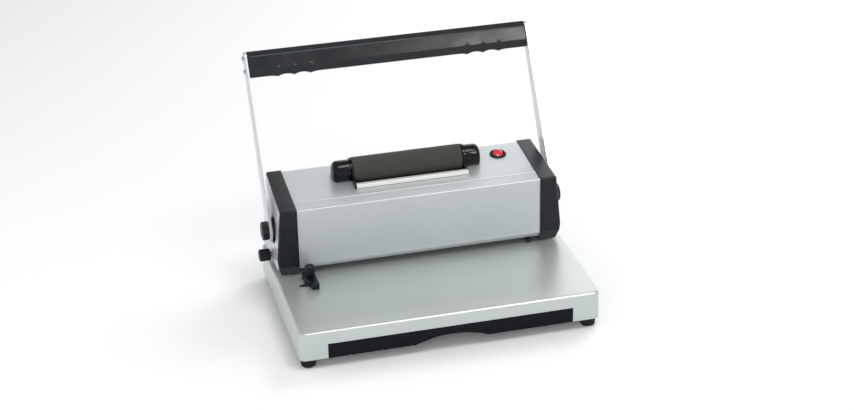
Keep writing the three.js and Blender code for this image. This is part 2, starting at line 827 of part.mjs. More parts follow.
// Pressure bar with raised ears on the posts, two racks and the comb of pins
function makeRam() {
  const top = ramRise + ramHeight;
  const earBottom = top - fitGap;
  const barOutline = polygon([[-ramHalfLength, ramRise], [ramHalfLength, ramRise], [ramHalfLength, earBottom],
    [ramEarReach, earBottom], [ramEarReach, top + ramEarHeight], [ramHalfLength, top + ramEarHeight],
    [ramHalfLength, top], [-ramHalfLength, top], [-ramHalfLength, top + ramEarHeight],
    [-ramEarReach, top + ramEarHeight], [-ramEarReach, earBottom], [-ramHalfLength, earBottom]]);
  const bar = prismY(barOutline, ramFront, ramBack);
  const pinBottom = guideBottom + fitGap;
  const pins = pinPlaces().map((x) =>
    prismZ(disc(pinRadius, x, punchSetback, holeSides), pinBottom, ramRise + fitGap));
  const pitchLine = pivotSetback - pinionPitchRadius;
  const edge = rackEdge(-2, 4).map(([along, out]) => [pitchLine + out, pivotRise + along]);
  const rackTop = edge[edge.length - 1][1];
  const rackOutline = polygon([[pitchLine - rackBackDepth, top - fitGap], [edge[0][0], top - fitGap], ...edge,
    [pitchLine - rackBackDepth, rackTop]]);
  const racks = [-1, 1].map((side) =>
    prismX(rackOutline, side * rackPlace - rackWidth / 2, side * rackPlace + rackWidth / 2));
  const postHoles = [-1, 1].map((side) =>
    prismZ(bore(ramPostRadius + fitGap, side * ramPost, ramPostSetback), 0, 2 * top));
  const earRoom = [-1, 1].map((side) => prismX(disc(shaftRadius + 3 * fitGap, pivotSetback, pivotRise),
    side > 0 ? ramHalfLength - overrun : -ramEarReach - overrun,
    side > 0 ? ramEarReach + overrun : -ramHalfLength + overrun));
  return cut(join(bar, ...pins, ...racks), ...postHoles, ...earRoom);
}

// Open coil spring round a post, seated on the guide and under the ram's ear
function makeReturnSpring() {
  const bottom = guideTop + fitGap + springWireRadius;
  const top = ramRise + ramHeight - 2 * fitGap - springWireRadius;
  const steps = springTurns * springSteps;
  const rings = [];
  for (let step = 0; step <= steps; step += 1) {
    const share = step / steps;
    const turn = share * springTurns * 2 * Math.PI;
    const outward = new THREE.Vector3(Math.cos(turn), Math.sin(turn), 0);
    const centre = outward.clone().multiplyScalar(springCoilRadius).setZ(bottom + (top - bottom) * share);
    rings.push(Array.from({ length: springSides }, (_, i) => {
      const roll = i * 2 * Math.PI / springSides;
      return centre.clone().addScaledVector(outward, springWireRadius * Math.cos(roll))
        .add(new THREE.Vector3(0, 0, springWireRadius * Math.sin(roll)));
    }));
  }
  return tubeFromRings(rings).translate(ramPost, ramPostSetback, 0);
}

function tubeFromRings(rings) {
  const sides = rings[0].length;
  const points = rings.flat();
  const first = points.length;
  points.push(middleOf(rings[0]), middleOf(rings[rings.length - 1]));
  const faces = [];
  for (let ring = 0; ring < rings.length - 1; ring += 1) {
    for (let i = 0; i < sides; i += 1) {
      const a = ring * sides + i;
      const b = ring * sides + (i + 1) % sides;
      faces.push(a, b, a + sides, b, b + sides, a + sides);
    }
  }
  const last = (rings.length - 1) * sides;
  for (let i = 0; i < sides; i += 1) {
    const next = (i + 1) % sides;
    faces.push(first, next, i, first + 1, last + i, last + next);
  }
  const geometry = new THREE.BufferGeometry().setFromPoints(points);
  geometry.setIndex(faces);
  const outward = new THREE.Vector3().subVectors(points[0], points[first]);
  const corner = new THREE.Vector3().subVectors(points[1], points[0]);
  const along = new THREE.Vector3().subVectors(points[sides], points[0]);
  if (corner.cross(along).dot(outward) < 0) {
    for (let i = 0; i < faces.length; i += 3) {
      [faces[i + 1], faces[i + 2]] = [faces[i + 2], faces[i + 1]];
    }
    geometry.setIndex(faces);
  }
  geometry.computeVertexNormals();
  return geometry;
}

function middleOf(points) {
  return points.reduce((sum, point) => sum.add(point), new THREE.Vector3()).divideScalar(points.length);
}

// Lever: shaft, pinions, arms, grip, screws and pivot knobs, modelled upright about the pivot

function makeShaft() {
  const chamfer = 2 * fitGap;
  return turnedX([[-shaftEnd, 0], [-shaftEnd, shaftRadius - chamfer], [-shaftEnd + chamfer, shaftRadius],
    [shaftEnd - chamfer, shaftRadius], [shaftEnd, shaftRadius - chamfer], [shaftEnd, 0]]);
}

function makePinion() {
  const blank = prismX(gearOutline(pinionTeeth, 0, 0), rackPlace - pinionWidth / 2, rackPlace + pinionWidth / 2);
  return cut(blank, prismX(bore(shaftRadius + fitGap, 0, 0), 0, 2 * rackPlace));
}

// Flat bar that tapers from its round hub to a round tip
function makeArm() {
  const outline = new THREE.Shape();
  const tipCentre = armLength - armTipHalfWidth;
  const lean = Math.asin((armHubRadius - armTipHalfWidth) / tipCentre);
  outline.absarc(0, 0, armHubRadius, Math.PI - lean, lean, false);
  outline.absarc(0, tipCentre, armTipHalfWidth, lean, Math.PI - lean, false);
  outline.closePath();
  const bar = prismX(outline, armInner, armInner + armThickness, wideArcSteps);
  const holes = [bore(shaftRadius + fitGap, 0, 0), ...screwPlaces().map((z) =>
    bore(screwShankRadius + fitGap, 0, z, smallSides))];
  return cut(bar, ...holes.map((hole) => prismX(hole, armInner - overrun, armInner + armThickness + overrun)));
}

function screwPlaces() {
  return [gripMiddle - screwSpacing / 2, gripMiddle + screwSpacing / 2];
}

function makeGrip() {
  const half = armInner - fitGap;
  const section = polygon([[-gripFront, gripBottom + gripFaceBottom], [-gripFront, gripBottom + gripFaceTop],
    [-gripFront / 4, gripBottom + gripHeight], [gripBack / 2, gripBottom + gripHeight],
    [gripBack, gripBottom + gripFaceTop], [gripBack, gripBottom + gripFaceBottom],
    [gripBack / 2, gripBottom], [-gripFront / 4, gripBottom]]);
  const bar = prismX(section, -half, half);
  const scallopRadius = ((gripRidgePitch / 2) ** 2 + gripScallopDepth ** 2) / (2 * gripScallopDepth);
  const scallops = [];
  for (let i = 0; i < gripScallopCount; i += 1) {
    const inFromEnd = gripFirstScallop + i * gripRidgePitch;
    [-1, 1].forEach((side) => {
      const x = side * (half - inFromEnd);
      scallops.push(prismY(arcPiece(x, gripBottom + gripScallopDepth, scallopRadius, gripRidgePitch),
        -gripFront - overrun, gripBack + overrun));
    });
  }
  const screwHoles = screwPlaces().flatMap((z) => [-1, 1].map((side) =>
    prismX(bore(screwShankRadius + fitGap, 0, z, smallSides),
      side > 0 ? half - screwShankLength : -half - overrun,
      side > 0 ? half + overrun : -half + screwShankLength)));
  return cut(bar, ...scallops, ...screwHoles);
}

// The part of a disc above a chord, with straight sides below it
function arcPiece(x, crown, radius, width) {
  const halfAngle = Math.asin(width / 2 / radius);
  const shape = new THREE.Shape();
  shape.absarc(x, crown - radius, radius, Math.PI / 2 - halfAngle, Math.PI / 2 + halfAngle, false);
  shape.lineTo(x - width / 2, crown - 2 * radius);
  shape.lineTo(x + width / 2, crown - 2 * radius);
  shape.closePath();
  return shape;
}

function makeGripScrew(z) {
  const seat = armOuterSeat;
  const top = seat + screwHeadHeight;
  const edge = screwHeadHeight / 2;
  return turnedX([[seat - screwShankLength, 0], [seat - screwShankLength, screwShankRadius], [seat, screwShankRadius],
    [seat, screwHeadRadius], [seat + edge, screwHeadRadius], [top, screwHeadRadius - edge], [top, 0]], smallSides)
    .translate(0, 0, z);
}

function makePivotKnob() {
  const knob = prismX(ribbedDisc(pivotKnobRadius, knobRibDepth, pivotKnobRibs, 0, 0),
    armOuterSeat, armOuterSeat + pivotKnobLength);
  const recess = prismX(disc(pivotKnobRadius - pivotKnobRing, 0, 0),
    armOuterSeat + pivotKnobLength - pivotKnobRecess, armOuterSeat + pivotKnobLength + overrun);
  return cut(knob, recess);
}

function makeBearing() {
  const flangeInner = frameOuter + fitGap;
  const flangeOuter = flangeInner + bearingFlangeThickness;
  const noseEnd = armInner - fitGap;
  const inside = shaftRadius + fitGap;
  return turnedX([[sideFrameInner, inside], [sideFrameInner, bearingSleeveRadius], [flangeInner, bearingSleeveRadius],
    [flangeInner, bearingFlangeRadius], [flangeOuter, bearingFlangeRadius], [flangeOuter, bearingNoseRadius],
    [noseEnd, bearingNoseRadius], [noseEnd, inside], [sideFrameInner, inside]])
    .translate(0, pivotSetback, pivotRise);
}

// Margin control

function makeMarginSpindle() {
  const left = -marginKnobInner - marginKnobLength / 2;
  const right = frameOuter;
  const rod = turnedX([[left, 0], [left, marginSpindleRadius], [right, marginSpindleRadius], [right, 0]], smallSides);
  const pinions = [-1, 1].map((side) => prismX(gearOutline(marginTeeth, 0, 0),
    side * marginRackPlace - marginRackWidth / 2, side * marginRackPlace + marginRackWidth / 2));
  return join(rod, ...pinions.map((pinion) => pinion.rotateX(-Math.PI / 2)));
}

function makeMarginKnob() {
  const from = -marginKnobInner - marginKnobLength;
  const knob = prismX(ribbedDisc(marginKnobRadius, knobRibDepth, marginKnobRibs, 0, 0), from, -marginKnobInner);
  const socket = prismX(bore(marginSpindleRadius + fitGap, 0, 0, smallSides),
    -marginKnobInner - marginKnobLength / 2 - fitGap, overrun - marginKnobInner);
  return cut(knob, socket);
}

// Back stop for the sheets: a thin strip in the throat with a rack near each end
function makeMarginStop() {
  const bottom = fitGap;
  const strip = prismZ(rectangle(-marginStopHalfLength, marginStopHalfLength, marginStopFront, marginStopBack),
    bottom, bottom + marginStopThickness);
  const pitchLine = marginRise - marginPitchRadius;
  const rackFloor = bottom + marginStopThickness / 2;
  const edge = rackEdge(-1, 1).map(([along, out]) => [marginBack + along, pitchLine + out]);
  const outline = polygon([[edge[0][0], rackFloor], ...edge, [edge[edge.length - 1][0], rackFloor]]);
  const racks = [-1, 1].map((side) => prismX(outline, side * marginRackPlace - marginRackWidth / 2 + fitGap,
    side * marginRackPlace + marginRackWidth / 2 - fitGap));
  return join(strip, ...racks);
}

// Edge guide, its clamp knob, and the fixed stop

function makeEdgeGuide() {
  const right = -guideFaceX;
  const left = right - guideWidth;
  const noseLeft = left + guideWidth * guideNoseShare;
  const noseBack = guideFront + guideNoseSetback;
  const bottom = baseTop + fitGap;
  const body = prismZ(polygon([[right, guideFront], [right, guideBack], [left, guideBack], [left, noseBack],
    [noseLeft, guideFront]]), bottom, bottom + guideHeight);
  const pointer = prismZ(polygon([[left - guidePointerReach, guidePointerBack],
    [left + guideWidth / 2, guidePointerBack - guidePointerHalfWidth],
    [left + guideWidth / 2, guidePointerBack + guidePointerHalfWidth]]), bottom, bottom + guidePointerHeight);
  const studHole = prismZ(bore(guideStudRadius + fitGap, -guideKnobX, guideKnobBack, smallSides), 0, 2 * baseTop);
  return cut(join(body, pointer), studHole);
}

function makeGuideKnob() {
  const seat = baseTop + guideHeight + 2 * fitGap;
  const knob = prismZ(ribbedDisc(guideKnobRadius, knobRibDepth, guideKnobRibs, 0, 0), seat, seat + guideKnobHeight);
  const stud = prismZ(disc(guideStudRadius, 0, 0, smallSides), seat - guideStudLength, seat + fitGap);
  return join(knob, stud).translate(-guideKnobX, guideKnobBack, 0);
}

function makeRightStop() {
  const bottom = baseTop + fitGap;
  return prismZ(rectangle(guideFaceX, guideFaceX + stopWidth, stopFront, stopFront + stopDepth),
    bottom, bottom + stopHeight);
}

// Roller unit in the sloping frame, its axis along X at the roller's centre

function placeOnRoller(geometry) {
  return geometry.translate(0, rollerBack, rollerRise);
}

function makeRollerSleeve() {
  const inside = rollerCoreRadius + fitGap;
  const soft = fitGap * 4;
  const end = rollerHalfLength - fitGap;
  return placeOnRoller(turnedX([[-end, inside], [-end, rollerRadius - soft], [-end + soft, rollerRadius],
    [end - soft, rollerRadius], [end, rollerRadius - soft], [end, inside], [-end, inside]], roundSides + smallSides));
}

// Core tube with its axle ends and the belt pulley on the right
function makeRollerCore() {
  const end = rollerHalfLength - fitGap;
  const a = pulleyPlace - pulleyWidth / 2;
  const b = pulleyPlace + pulleyWidth / 2;
  const rim = rollerPulleyRadius + pulleyRim;
  return placeOnRoller(turnedX([[-axleEnd, 0], [-axleEnd, axleRadius], [-end, axleRadius], [-end, rollerCoreRadius],
    [end, rollerCoreRadius], [end, axleRadius], [a, axleRadius], [a, rim], [a + pulleyRimWidth, rim],
    [a + pulleyRimWidth, rollerPulleyRadius], [b - pulleyRimWidth, rollerPulleyRadius], [b - pulleyRimWidth, rim],
    [b, rim], [b, axleRadius], [axleEnd, axleRadius], [axleEnd, 0]]));
}

// Black end plate: round over the roller, running forward along the trough
function makeTroughEnd() {
  const bottom = fitGap;
  const toe = 3 * troughPlateThickness;
  const shape = new THREE.Shape();
  const drop = rollerRise - bottom;
  const rear = Math.sqrt(troughEndRadius ** 2 - drop ** 2);
  shape.moveTo(-rollerBack + troughFront, -drop);
  shape.lineTo(rear, -drop);
  shape.absarc(0, 0, troughEndRadius, -Math.asin(drop / troughEndRadius), Math.PI, false);
  shape.lineTo(-rollerBack + troughFront, -drop + toe);
  shape.closePath();
  const plate = prismX(shape, troughEndInner, troughEndInner + troughEndThickness, wideArcSteps);
  const hole = prismX(bore(axleRadius + fitGap, 0, 0, smallSides), 0, 2 * housingOuter);
  return placeOnRoller(cut(plate, hole));
}

function makeTroughPlate() {
  const lift = troughPlateLift + troughPlateThickness;
  const line = softened([[troughFront, lift], [(troughFront + troughPlateRear) / 2, lift],
    [troughPlateRear, lift + troughPlateKick]], [0, troughPlateKick, 0]);
  return prismX(foldedSheet(line, troughPlateThickness), -troughEndInner + fitGap, troughEndInner - fitGap);
}

// Bearing housing: an arched shell with a rounded outer end, open below
function arch(radius, drop) {
  const shape = new THREE.Shape();
  shape.absarc(0, 0, radius, 0, Math.PI, false);
  shape.lineTo(-radius, -drop);
  shape.lineTo(radius, -drop);
  shape.closePath();
  return shape;
}

function makeHousing() {
  const drop = rollerRise - fitGap;
  const line = [[housingInner, housingRadius]];
  for (let step = 0; step <= arcSteps; step += 1) {
    const turn = step / arcSteps * Math.PI / 2;
    line.push([housingOuter - housingRound + housingRound * Math.sin(turn),
      housingRadius - housingRound + housingRound * Math.cos(turn)]);
  }
  const dome = turnedX([[housingInner, 0], ...line, [housingOuter, 0]], roundSides + smallSides);
  const plan = polygon([...line, ...line.map(([x, radius]) => [x, -radius]).reverse()]);
  const skirt = prismZ(plan, -drop, 0);
  const hugeHeight = 4 * housingRadius;
  const keep = prismX(rectangle(-hugeHeight, hugeHeight, -drop, hugeHeight), 0, 2 * housingOuter);
  const hollow = prismX(arch(housingRadius - housingWall, 2 * drop), housingInner + housingWall,
    housingOuter - housingRound / 2);
  const axleHole = prismX(bore(axleRadius + fitGap, 0, 0, smallSides), 0, housingInner + 2 * housingWall);
  return placeOnRoller(cut(common(join(dome, skirt), keep), hollow, axleHole));
}

// Motor with its gearbox on the right frame, in the head's upright frame
function rollerInHead() {
  const back = rollerBack * Math.cos(headSlope) - rollerRise * Math.sin(headSlope);
  const up = headFrontHeight + rollerBack * Math.sin(headSlope) + rollerRise * Math.cos(headSlope);
  return { back, up };
}

function makeGearMotor() {
  const { back } = rollerInHead();
  const end = sideFrameInner - fitGap;
  const gearbox = end - (end - motorInner) / 3;
  const shaftTip = pulleyPlace - pulleyWidth / 2 - fitGap;
  const inner = motorInner + pulleyWidth / 2;
  return turnedX([[shaftTip, 0], [shaftTip, motorShaftRadius], [motorInner, motorShaftRadius],
    [motorInner, 2 * motorShaftRadius], [inner, 2 * motorShaftRadius], [inner, motorRadius - capWall],
    [gearbox, motorRadius - capWall], [gearbox, motorRadius], [end, motorRadius], [end, 0]])
    .translate(0, back, motorRise);
}

function makeMotorPulley() {
  const { back } = rollerInHead();
  const a = pulleyPlace - pulleyWidth / 2;
  const b = pulleyPlace + pulleyWidth / 2;
  const rim = motorPulleyRadius + pulleyRim;
  const inside = motorShaftRadius + fitGap;
  return turnedX([[a, inside], [a, rim], [a + pulleyRimWidth, rim], [a + pulleyRimWidth, motorPulleyRadius],
    [b - pulleyRimWidth, motorPulleyRadius], [b - pulleyRimWidth, rim], [b, rim], [b, inside], [a, inside]])
    .translate(0, back, motorRise);
}

// Belt loop round both pulleys
function makeBelt() {
  const { back, up } = rollerInHead();
  const span = up - motorRise;
  const loop = (gap, Kind) => {
    const upper = rollerPulleyRadius + gap;
    const lower = motorPulleyRadius + gap;
    const lean = Math.asin((upper - lower) / span);
    const shape = new Kind();
    shape.absarc(back, up, upper, -lean, Math.PI + lean, false);
    shape.absarc(back, motorRise, lower, Math.PI + lean, 2 * Math.PI - lean, false);
    shape.closePath();
    return shape;
  };
  const outline = loop(2 * fitGap + beltThickness, THREE.Shape);
  outline.holes.push(loop(2 * fitGap, THREE.Path));
  return prismX(outline, pulleyPlace - beltWidth / 2, pulleyPlace + beltWidth / 2);
}

// Round rocker switch in the sloping top

function makeBezel() {
  const inner = bezelInner;
  const seat = fitGap;
  const edge = bezelHeight / 2;
  const ring = turnedZ([[inner, -barrelDepth], [barrelRadius, -barrelDepth], [barrelRadius, seat], [bezelRadius, seat],
    [bezelRadius, seat + edge], [bezelRadius - edge, seat + bezelHeight], [inner, seat + bezelHeight],
    [inner, -barrelDepth]]);
  const pinHole = prismX(bore(rockerPinRadius + fitGap, 0, -rockerPivotDrop, smallSides), -bezelRadius, bezelRadius);
  return cut(ring, pinHole).translate(switchX, switchBack, 0);
}

// Red rocker: a short drum about its cross pins, its front half pressed down
function makeRocker() {
  const round = prismZ(disc(rockerRadius, 0, 0), -2 * rockerRadius, 2 * rockerRadius);
  const reach = rockerRadius - 2 * fitGap;
  const pressed = -Math.tan(rockerSlope) * reach;
  const side = polygon([...discPoints(reach, 0, 0, roundSides).filter(([a, b]) => b <= pressed || a >= 0)]);
  const drum = prismX(side, -rockerRadius, rockerRadius);
  const pins = prismX(disc(rockerPinRadius, 0, 0, smallSides), -barrelRadius + fitGap, barrelRadius - fitGap);
  return join(common(round, drum), pins).translate(switchX, switchBack, -rockerPivotDrop);
}

// Power entry and supply

function makeInlet() {
  const half = inletWidth / 2;
  const halfUp = inletHeight / 2;
  const body = prismY(rectangle(inletX - half, inletX + half, inletRise - halfUp, inletRise + halfUp),
    headDepth - inletDepth, headDepth + fitGap + inletFlangeThickness / 2);
  const flange = prismY(roundedRectangle(inletX - half - inletFlange, inletX + half + inletFlange,
    inletRise - halfUp - inletFlange, inletRise + halfUp + inletFlange, inletFlange),
  headDepth + fitGap, headDepth + fitGap + inletFlangeThickness);
  const recessBack = headDepth + fitGap + inletFlangeThickness - inletRecess;
  const mouth = prismY(rectangle(inletX - half + inletRecessWall, inletX + half - inletRecessWall,
    inletRise - halfUp + inletRecessWall, inletRise + halfUp - inletRecessWall),
  recessBack, headDepth + overrun);
  const blades = [[-1, -0.3], [1, -0.3], [0, 0.5]].map(([across, up]) => {
    const x = inletX + across * inletBladeSpacing;
    const z = inletRise + up * inletBladeSpacing;
    return prismY(rectangle(x - inletBladeWidth / 2, x + inletBladeWidth / 2, z - inletBladeHeight / 2,
      z + inletBladeHeight / 2), recessBack - fitGap, recessBack + inletBladeLength);
  });
  return join(cut(join(body, flange), mouth), ...blades);
}

function makeSupply() {
  const outline = roundedRectangle(supplyX - supplyWidth / 2, supplyX + supplyWidth / 2, supplyBack,
    supplyBack + supplyDepth, coverSheet);
  return prismZ(outline, fitGap, supplyHeight);
}

// Assembly

addPiece(base, 'base_shell', makeBaseShell(), basePaint);
addPiece(base, 'base_plate', makeBasePlate(), darkSteel);
addFeet();
addPiece(base, 'chip_drawer', makeDrawer(), drawerBlack);
addPiece(base, 'edge_guide', makeEdgeGuide(), blackPlastic);
addPiece(base, 'edge_guide_knob', makeGuideKnob(), blackPlastic);
addPiece(base, 'right_stop', makeRightStop(), blackPlastic);

addPiece(head, 'front_cover', makeFrontCover(), silverPaint);
addPiece(head, 'top_cover', makeTopCover(), silverPaint);
addPiece(head, 'rear_cover', makeRearCover(), silverPaint);
addPair(head, 'end_cap', makeEndCap(), blackPlastic);
addPair(head, 'side_frame', makeSideFrame(), darkSteel);
addPair(head, 'side_panel', makeSidePanel(), sidePaint);
addPair(head, 'shaft_bearing', makeBearing(), brightSteel);

addPiece(head, 'die_plate', makeDie(), toolSteel);
addPair(head, 'die_bracket', makeDieBracket(), darkSteel);
addPiece(head, 'pin_guide', makePinGuide(), toolSteel);
addPair(head, 'ram_post', makeRamPost(), toolSteel);
addPiece(head, 'punch_ram', makeRam(), toolSteel);
addPair(head, 'return_spring', makeReturnSpring(), brightSteel);

addPiece(lever, 'drive_shaft', makeShaft(), toolSteel);
addPair(head, 'pinion', makePinion().translate(0, pivotSetback, pivotRise), toolSteel);
addPair(lever, 'handle_arm', makeArm(), brightSteel);
addPiece(lever, 'handle_grip', makeGrip(), blackPlastic);
screwPlaces().forEach((z, i) => addPair(lever, `grip_screw_${i + 1}`, makeGripScrew(z), brightSteel));
addPair(lever, 'pivot_knob', makePivotKnob(), blackPlastic);

const margin = new THREE.Group();
margin.position.set(0, marginBack, marginRise);
head.add(margin);
addPiece(margin, 'margin_spindle', makeMarginSpindle(), toolSteel);
addPiece(margin, 'margin_knob', makeMarginKnob(), blackPlastic);
addPiece(head, 'margin_stop', makeMarginStop(), toolSteel);

addPiece(slopingTop, 'roller_sleeve', makeRollerSleeve(), foam);
addPiece(slopingTop, 'roller_core', makeRollerCore(), blackPlastic);
addPair(slopingTop, 'trough_end', makeTroughEnd(), blackPlastic);
addPiece(slopingTop, 'trough_plate', makeTroughPlate(), brightSteel);
addPair(slopingTop, 'roller_housing', makeHousing(), glossBlack);
addPiece(slopingTop, 'switch_bezel', makeBezel(), glossBlack);
addPiece(slopingTop, 'switch_rocker', makeRocker(), redLens);

addPiece(head, 'gear_motor', makeGearMotor(), darkSteel);
addPiece(head, 'motor_pulley', makeMotorPulley(), blackPlastic);
addPiece(head, 'drive_belt', makeBelt(), blackRubber);
addPiece(head, 'power_inlet', makeInlet(), blackPlastic);
addPiece(head, 'power_supply', makeSupply(), boardBox);

// Centre the origin under the whole machine
const extent = new THREE.Box3().setFromObject(machine, true);
machine.position.x = -(extent.min.x + extent.max.x) / 2;
machine.position.y = -(extent.min.y + extent.max.y) / 2;

export default machine;
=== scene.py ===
import json
import math

import bmesh
import bpy
import numpy as np
from mathutils import Matrix, Vector


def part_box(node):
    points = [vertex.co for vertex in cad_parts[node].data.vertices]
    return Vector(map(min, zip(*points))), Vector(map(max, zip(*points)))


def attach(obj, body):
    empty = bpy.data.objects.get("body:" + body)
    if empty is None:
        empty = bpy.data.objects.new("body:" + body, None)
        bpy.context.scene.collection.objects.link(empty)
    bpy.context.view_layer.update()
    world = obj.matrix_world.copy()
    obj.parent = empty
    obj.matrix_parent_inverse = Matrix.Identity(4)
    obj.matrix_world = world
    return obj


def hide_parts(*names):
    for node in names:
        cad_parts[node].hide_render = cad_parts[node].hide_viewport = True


# A coil binding punch on a table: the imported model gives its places, and each piece has its sizes in metres
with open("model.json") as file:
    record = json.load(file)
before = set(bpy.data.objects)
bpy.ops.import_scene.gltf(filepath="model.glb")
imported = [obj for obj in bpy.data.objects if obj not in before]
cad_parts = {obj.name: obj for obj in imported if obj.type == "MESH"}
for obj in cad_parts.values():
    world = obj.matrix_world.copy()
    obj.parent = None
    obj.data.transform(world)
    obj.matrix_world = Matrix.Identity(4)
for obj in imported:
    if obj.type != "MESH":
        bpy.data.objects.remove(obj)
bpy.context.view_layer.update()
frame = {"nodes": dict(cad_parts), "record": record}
nodes = frame["nodes"]
bodyOf = {node: body for body, members in frame["record"]["behaviour"]["bodies"].items() for node in members}

baseLow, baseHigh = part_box("base_shell")
middleX = (baseLow.x + baseHigh.x) / 2
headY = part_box("front_cover")[0].y
head = {
    "depth": 0.110,
    "frontHeight": 0.0956,
    "backRise": 0.0094,
    "pivotBack": 0.0466,
    "pivotRise": 0.0495,
    "leverLean": 31.5,
    "rollerBack": 0.0735,
    "rollerRise": 0.008,
    "switchOut": 0.1312,
    "switchBack": 0.0804,
}


def at(x, y, z):
    return Matrix.Translation((x, y, z))


# A place on the right side and its mirror image on the left
def bothSides(place):
    return (("right", place), ("left", place @ mirrorX))


slope = math.atan(head["backRise"] / head["depth"])
headPlace = at(middleX, headY, baseHigh.z)
topPlace = headPlace @ at(0, 0, head["frontHeight"]) @ Matrix.Rotation(slope, 4, "X")
rollerPlace = topPlace @ at(0, head["rollerBack"], head["rollerRise"])
switchPlace = topPlace @ at(head["switchOut"], head["switchBack"], 0)
pivotPlace = headPlace @ at(0, head["pivotBack"], head["pivotRise"])
leverPlace = pivotPlace @ Matrix.Rotation(-math.radians(head["leverLean"]), 4, "X")
mirrorX = Matrix.Diagonal((-1, 1, 1, 1))
print("frame loaded,", len(nodes), "solids")


# Shader helpers; one that adds a node gives back an output socket of it

def setInputs(tree, node, inputs):
    for key, value in inputs.items():
        if isinstance(value, bpy.types.NodeSocket):
            tree.links.new(value, node.inputs[key])
        else:
            node.inputs[key].default_value = value


def addNode(tree, kind, inputs=None, out=0, **settings):
    node = tree.nodes.new("ShaderNode" + kind)
    for key, value in settings.items():
        setattr(node, key, value)
    setInputs(tree, node, inputs or {})
    return node.outputs[out]


def compute(tree, operation, *terms, clamp=False):
    return addNode(tree, "Math", dict(enumerate(terms)), operation=operation, use_clamp=clamp)


# The range from low to high spread over the range from toLow to toHigh
def spread(tree, value, low, high, toLow=0.0, toHigh=1.0):
    return addNode(tree, "MapRange", {"Value": value, "From Min": low, "From Max": high,
                                      "To Min": toLow, "To Max": toHigh})


# Inputs 6 and 7 and output 2 are the node's colours
def mixed(tree, mask, first, second):
    return addNode(tree, "Mix", {0: mask, 6: first, 7: second}, out=2, data_type="RGBA")


def bumped(tree, height, distance, strength=1.0):
    return addNode(tree, "Bump", {"Strength": strength, "Distance": distance, "Height": height})


def objectNoise(tree, scale, detail, roughness=0.5, distortion=0.0, stretch=(1, 1, 1)):
    place = addNode(tree, "TexCoord", out="Object")
    place = addNode(tree, "Mapping", {"Vector": place, "Scale": stretch})
    return addNode(tree, "TexNoise", {"Vector": place, "Scale": scale, "Detail": detail,
                                      "Roughness": roughness, "Distortion": distortion})


def newMaterial(name):
    material = bpy.data.materials.new(name)
    material.use_nodes = True
    return material, material.node_tree, material.node_tree.nodes["Principled BSDF"]


# The linear colour of screen values from 0 to 255
def shade(red, green, blue):
    level = np.array([red, green, blue]) / 255
    linear = np.where(level <= 0.04045, level / 12.92, ((level + 0.055) / 1.055) ** 2.4)
    return (*[float(part) for part in linear], 1)


# Camera and light

cameraValues = {
    "place": (-0.559596, -2.282563, 1.289756),
    "right": (0.96731, -0.25286, -0.01926),
    "up": (0.12880, 0.42446, 0.89624),
    "lens": 82.62,
    "sensor": 36,
}


def addCamera(place, right, up, lens, sensor):
    camera = bpy.data.objects.new("camera", bpy.data.cameras.new("camera"))
    camera.data.lens = lens
    camera.data.sensor_width = sensor
    camera.data.sensor_fit = "HORIZONTAL"
    across = Vector(right).normalized()
    back = across.cross(Vector(up)).normalized()
    turn = Matrix((across, back.cross(across), back)).transposed().to_4x4()
    camera.matrix_world = at(*place) @ turn
    bpy.context.scene.collection.objects.link(camera)
    bpy.context.scene.camera = camera


lightValues = {
    "overhead": {"place": (0.35, -0.6, 2.1), "target": (0, 0, 0.1), "size": (0.8, 0.8), "power": 14,
                 "gloss": True},
    "rearCard": {"place": (1.0, 1.9, 1.05), "target": (0.15, 0, 0.12), "size": (1.6, 1.2), "power": 8,
                 "gloss": True},
    "rearRight": {"place": (1.2, 0.9, 1.5), "target": (0, 0, 0.12), "size": (0.8, 0.8), "power": 12},
    "frontFill": {"place": (-0.9, -2.4, 1.0), "target": (0, 0, 0.1), "size": (1.8, 1.4), "power": 25},
    "gripCard": {"place": (0.76, -1.2, 1.37), "target": (0.16, 0.04, 0.32), "size": (0.5, 0.5), "power": 9.0,
                 "gloss": True, "diffuse": False, "tint": (1.0, 0.97, 0.93)},
    "leftCard": {"place": (-1.6, -0.1, 0.7), "target": (-0.2, 0, 0.1), "size": (0.8, 1.0), "power": 5},
}
# grey level of the sky at shares of the way from straight down to straight up
skyValues = {"strength": 0.95, "levels": [(0.45, 0.9), (0.52, 0.9), (0.75, 0.68), (1.0, 0.42)]}
floorValues = {"size": 24.0, "color": (238, 239, 240), "roughness": 0.9, "specular": 0.1,
               "drift": 0.004, "driftScale": 2.0}


def addLight(name, place, target, size, power, gloss=False, diffuse=True, tint=(1, 1, 1)):
    lamp = bpy.data.lights.new(name, "AREA")
    lamp.shape = "RECTANGLE"
    lamp.size, lamp.size_y = size
    lamp.energy = power
    lamp.color = tint
    light = bpy.data.objects.new(name, lamp)
    light.visible_glossy = gloss
    light.visible_diffuse = diffuse
    light.location = place
    light.rotation_euler = (Vector(target) - Vector(place)).to_track_quat("-Z", "Y").to_euler()
    bpy.context.scene.collection.objects.link(light)


def setSky(strength, levels):
    world = bpy.data.worlds.new("studio")
    bpy.context.scene.world = world
    world.use_nodes = True
    tree = world.node_tree
    direction = addNode(tree, "TexCoord", out="Generated")
    upward = addNode(tree, "SeparateXYZ", {0: direction}, out="Z")
    grey = addNode(tree, "ValToRGB", {"Fac": spread(tree, upward, -1, 1)})
    setInputs(tree, tree.nodes["Background"], {"Strength": strength, "Color": grey})
    stops = grey.node.color_ramp.elements
    first, *between, last = levels
    for stop, (share, level) in zip(stops, (first, last)):
        stop.position, stop.color = share, (level,) * 3 + (1,)
    for share, level in between:
        stops.new(share).color = (level,) * 3 + (1,)


addCamera(**cameraValues)
for name, values in lightValues.items():
    addLight(name, **values)
setSky(**skyValues)
view = bpy.context.scene.view_settings
view.view_transform, view.look, view.exposure, view.gamma = "Standard", "None", 0, 1
print("camera and light set")


# Shader groups that several finishes share

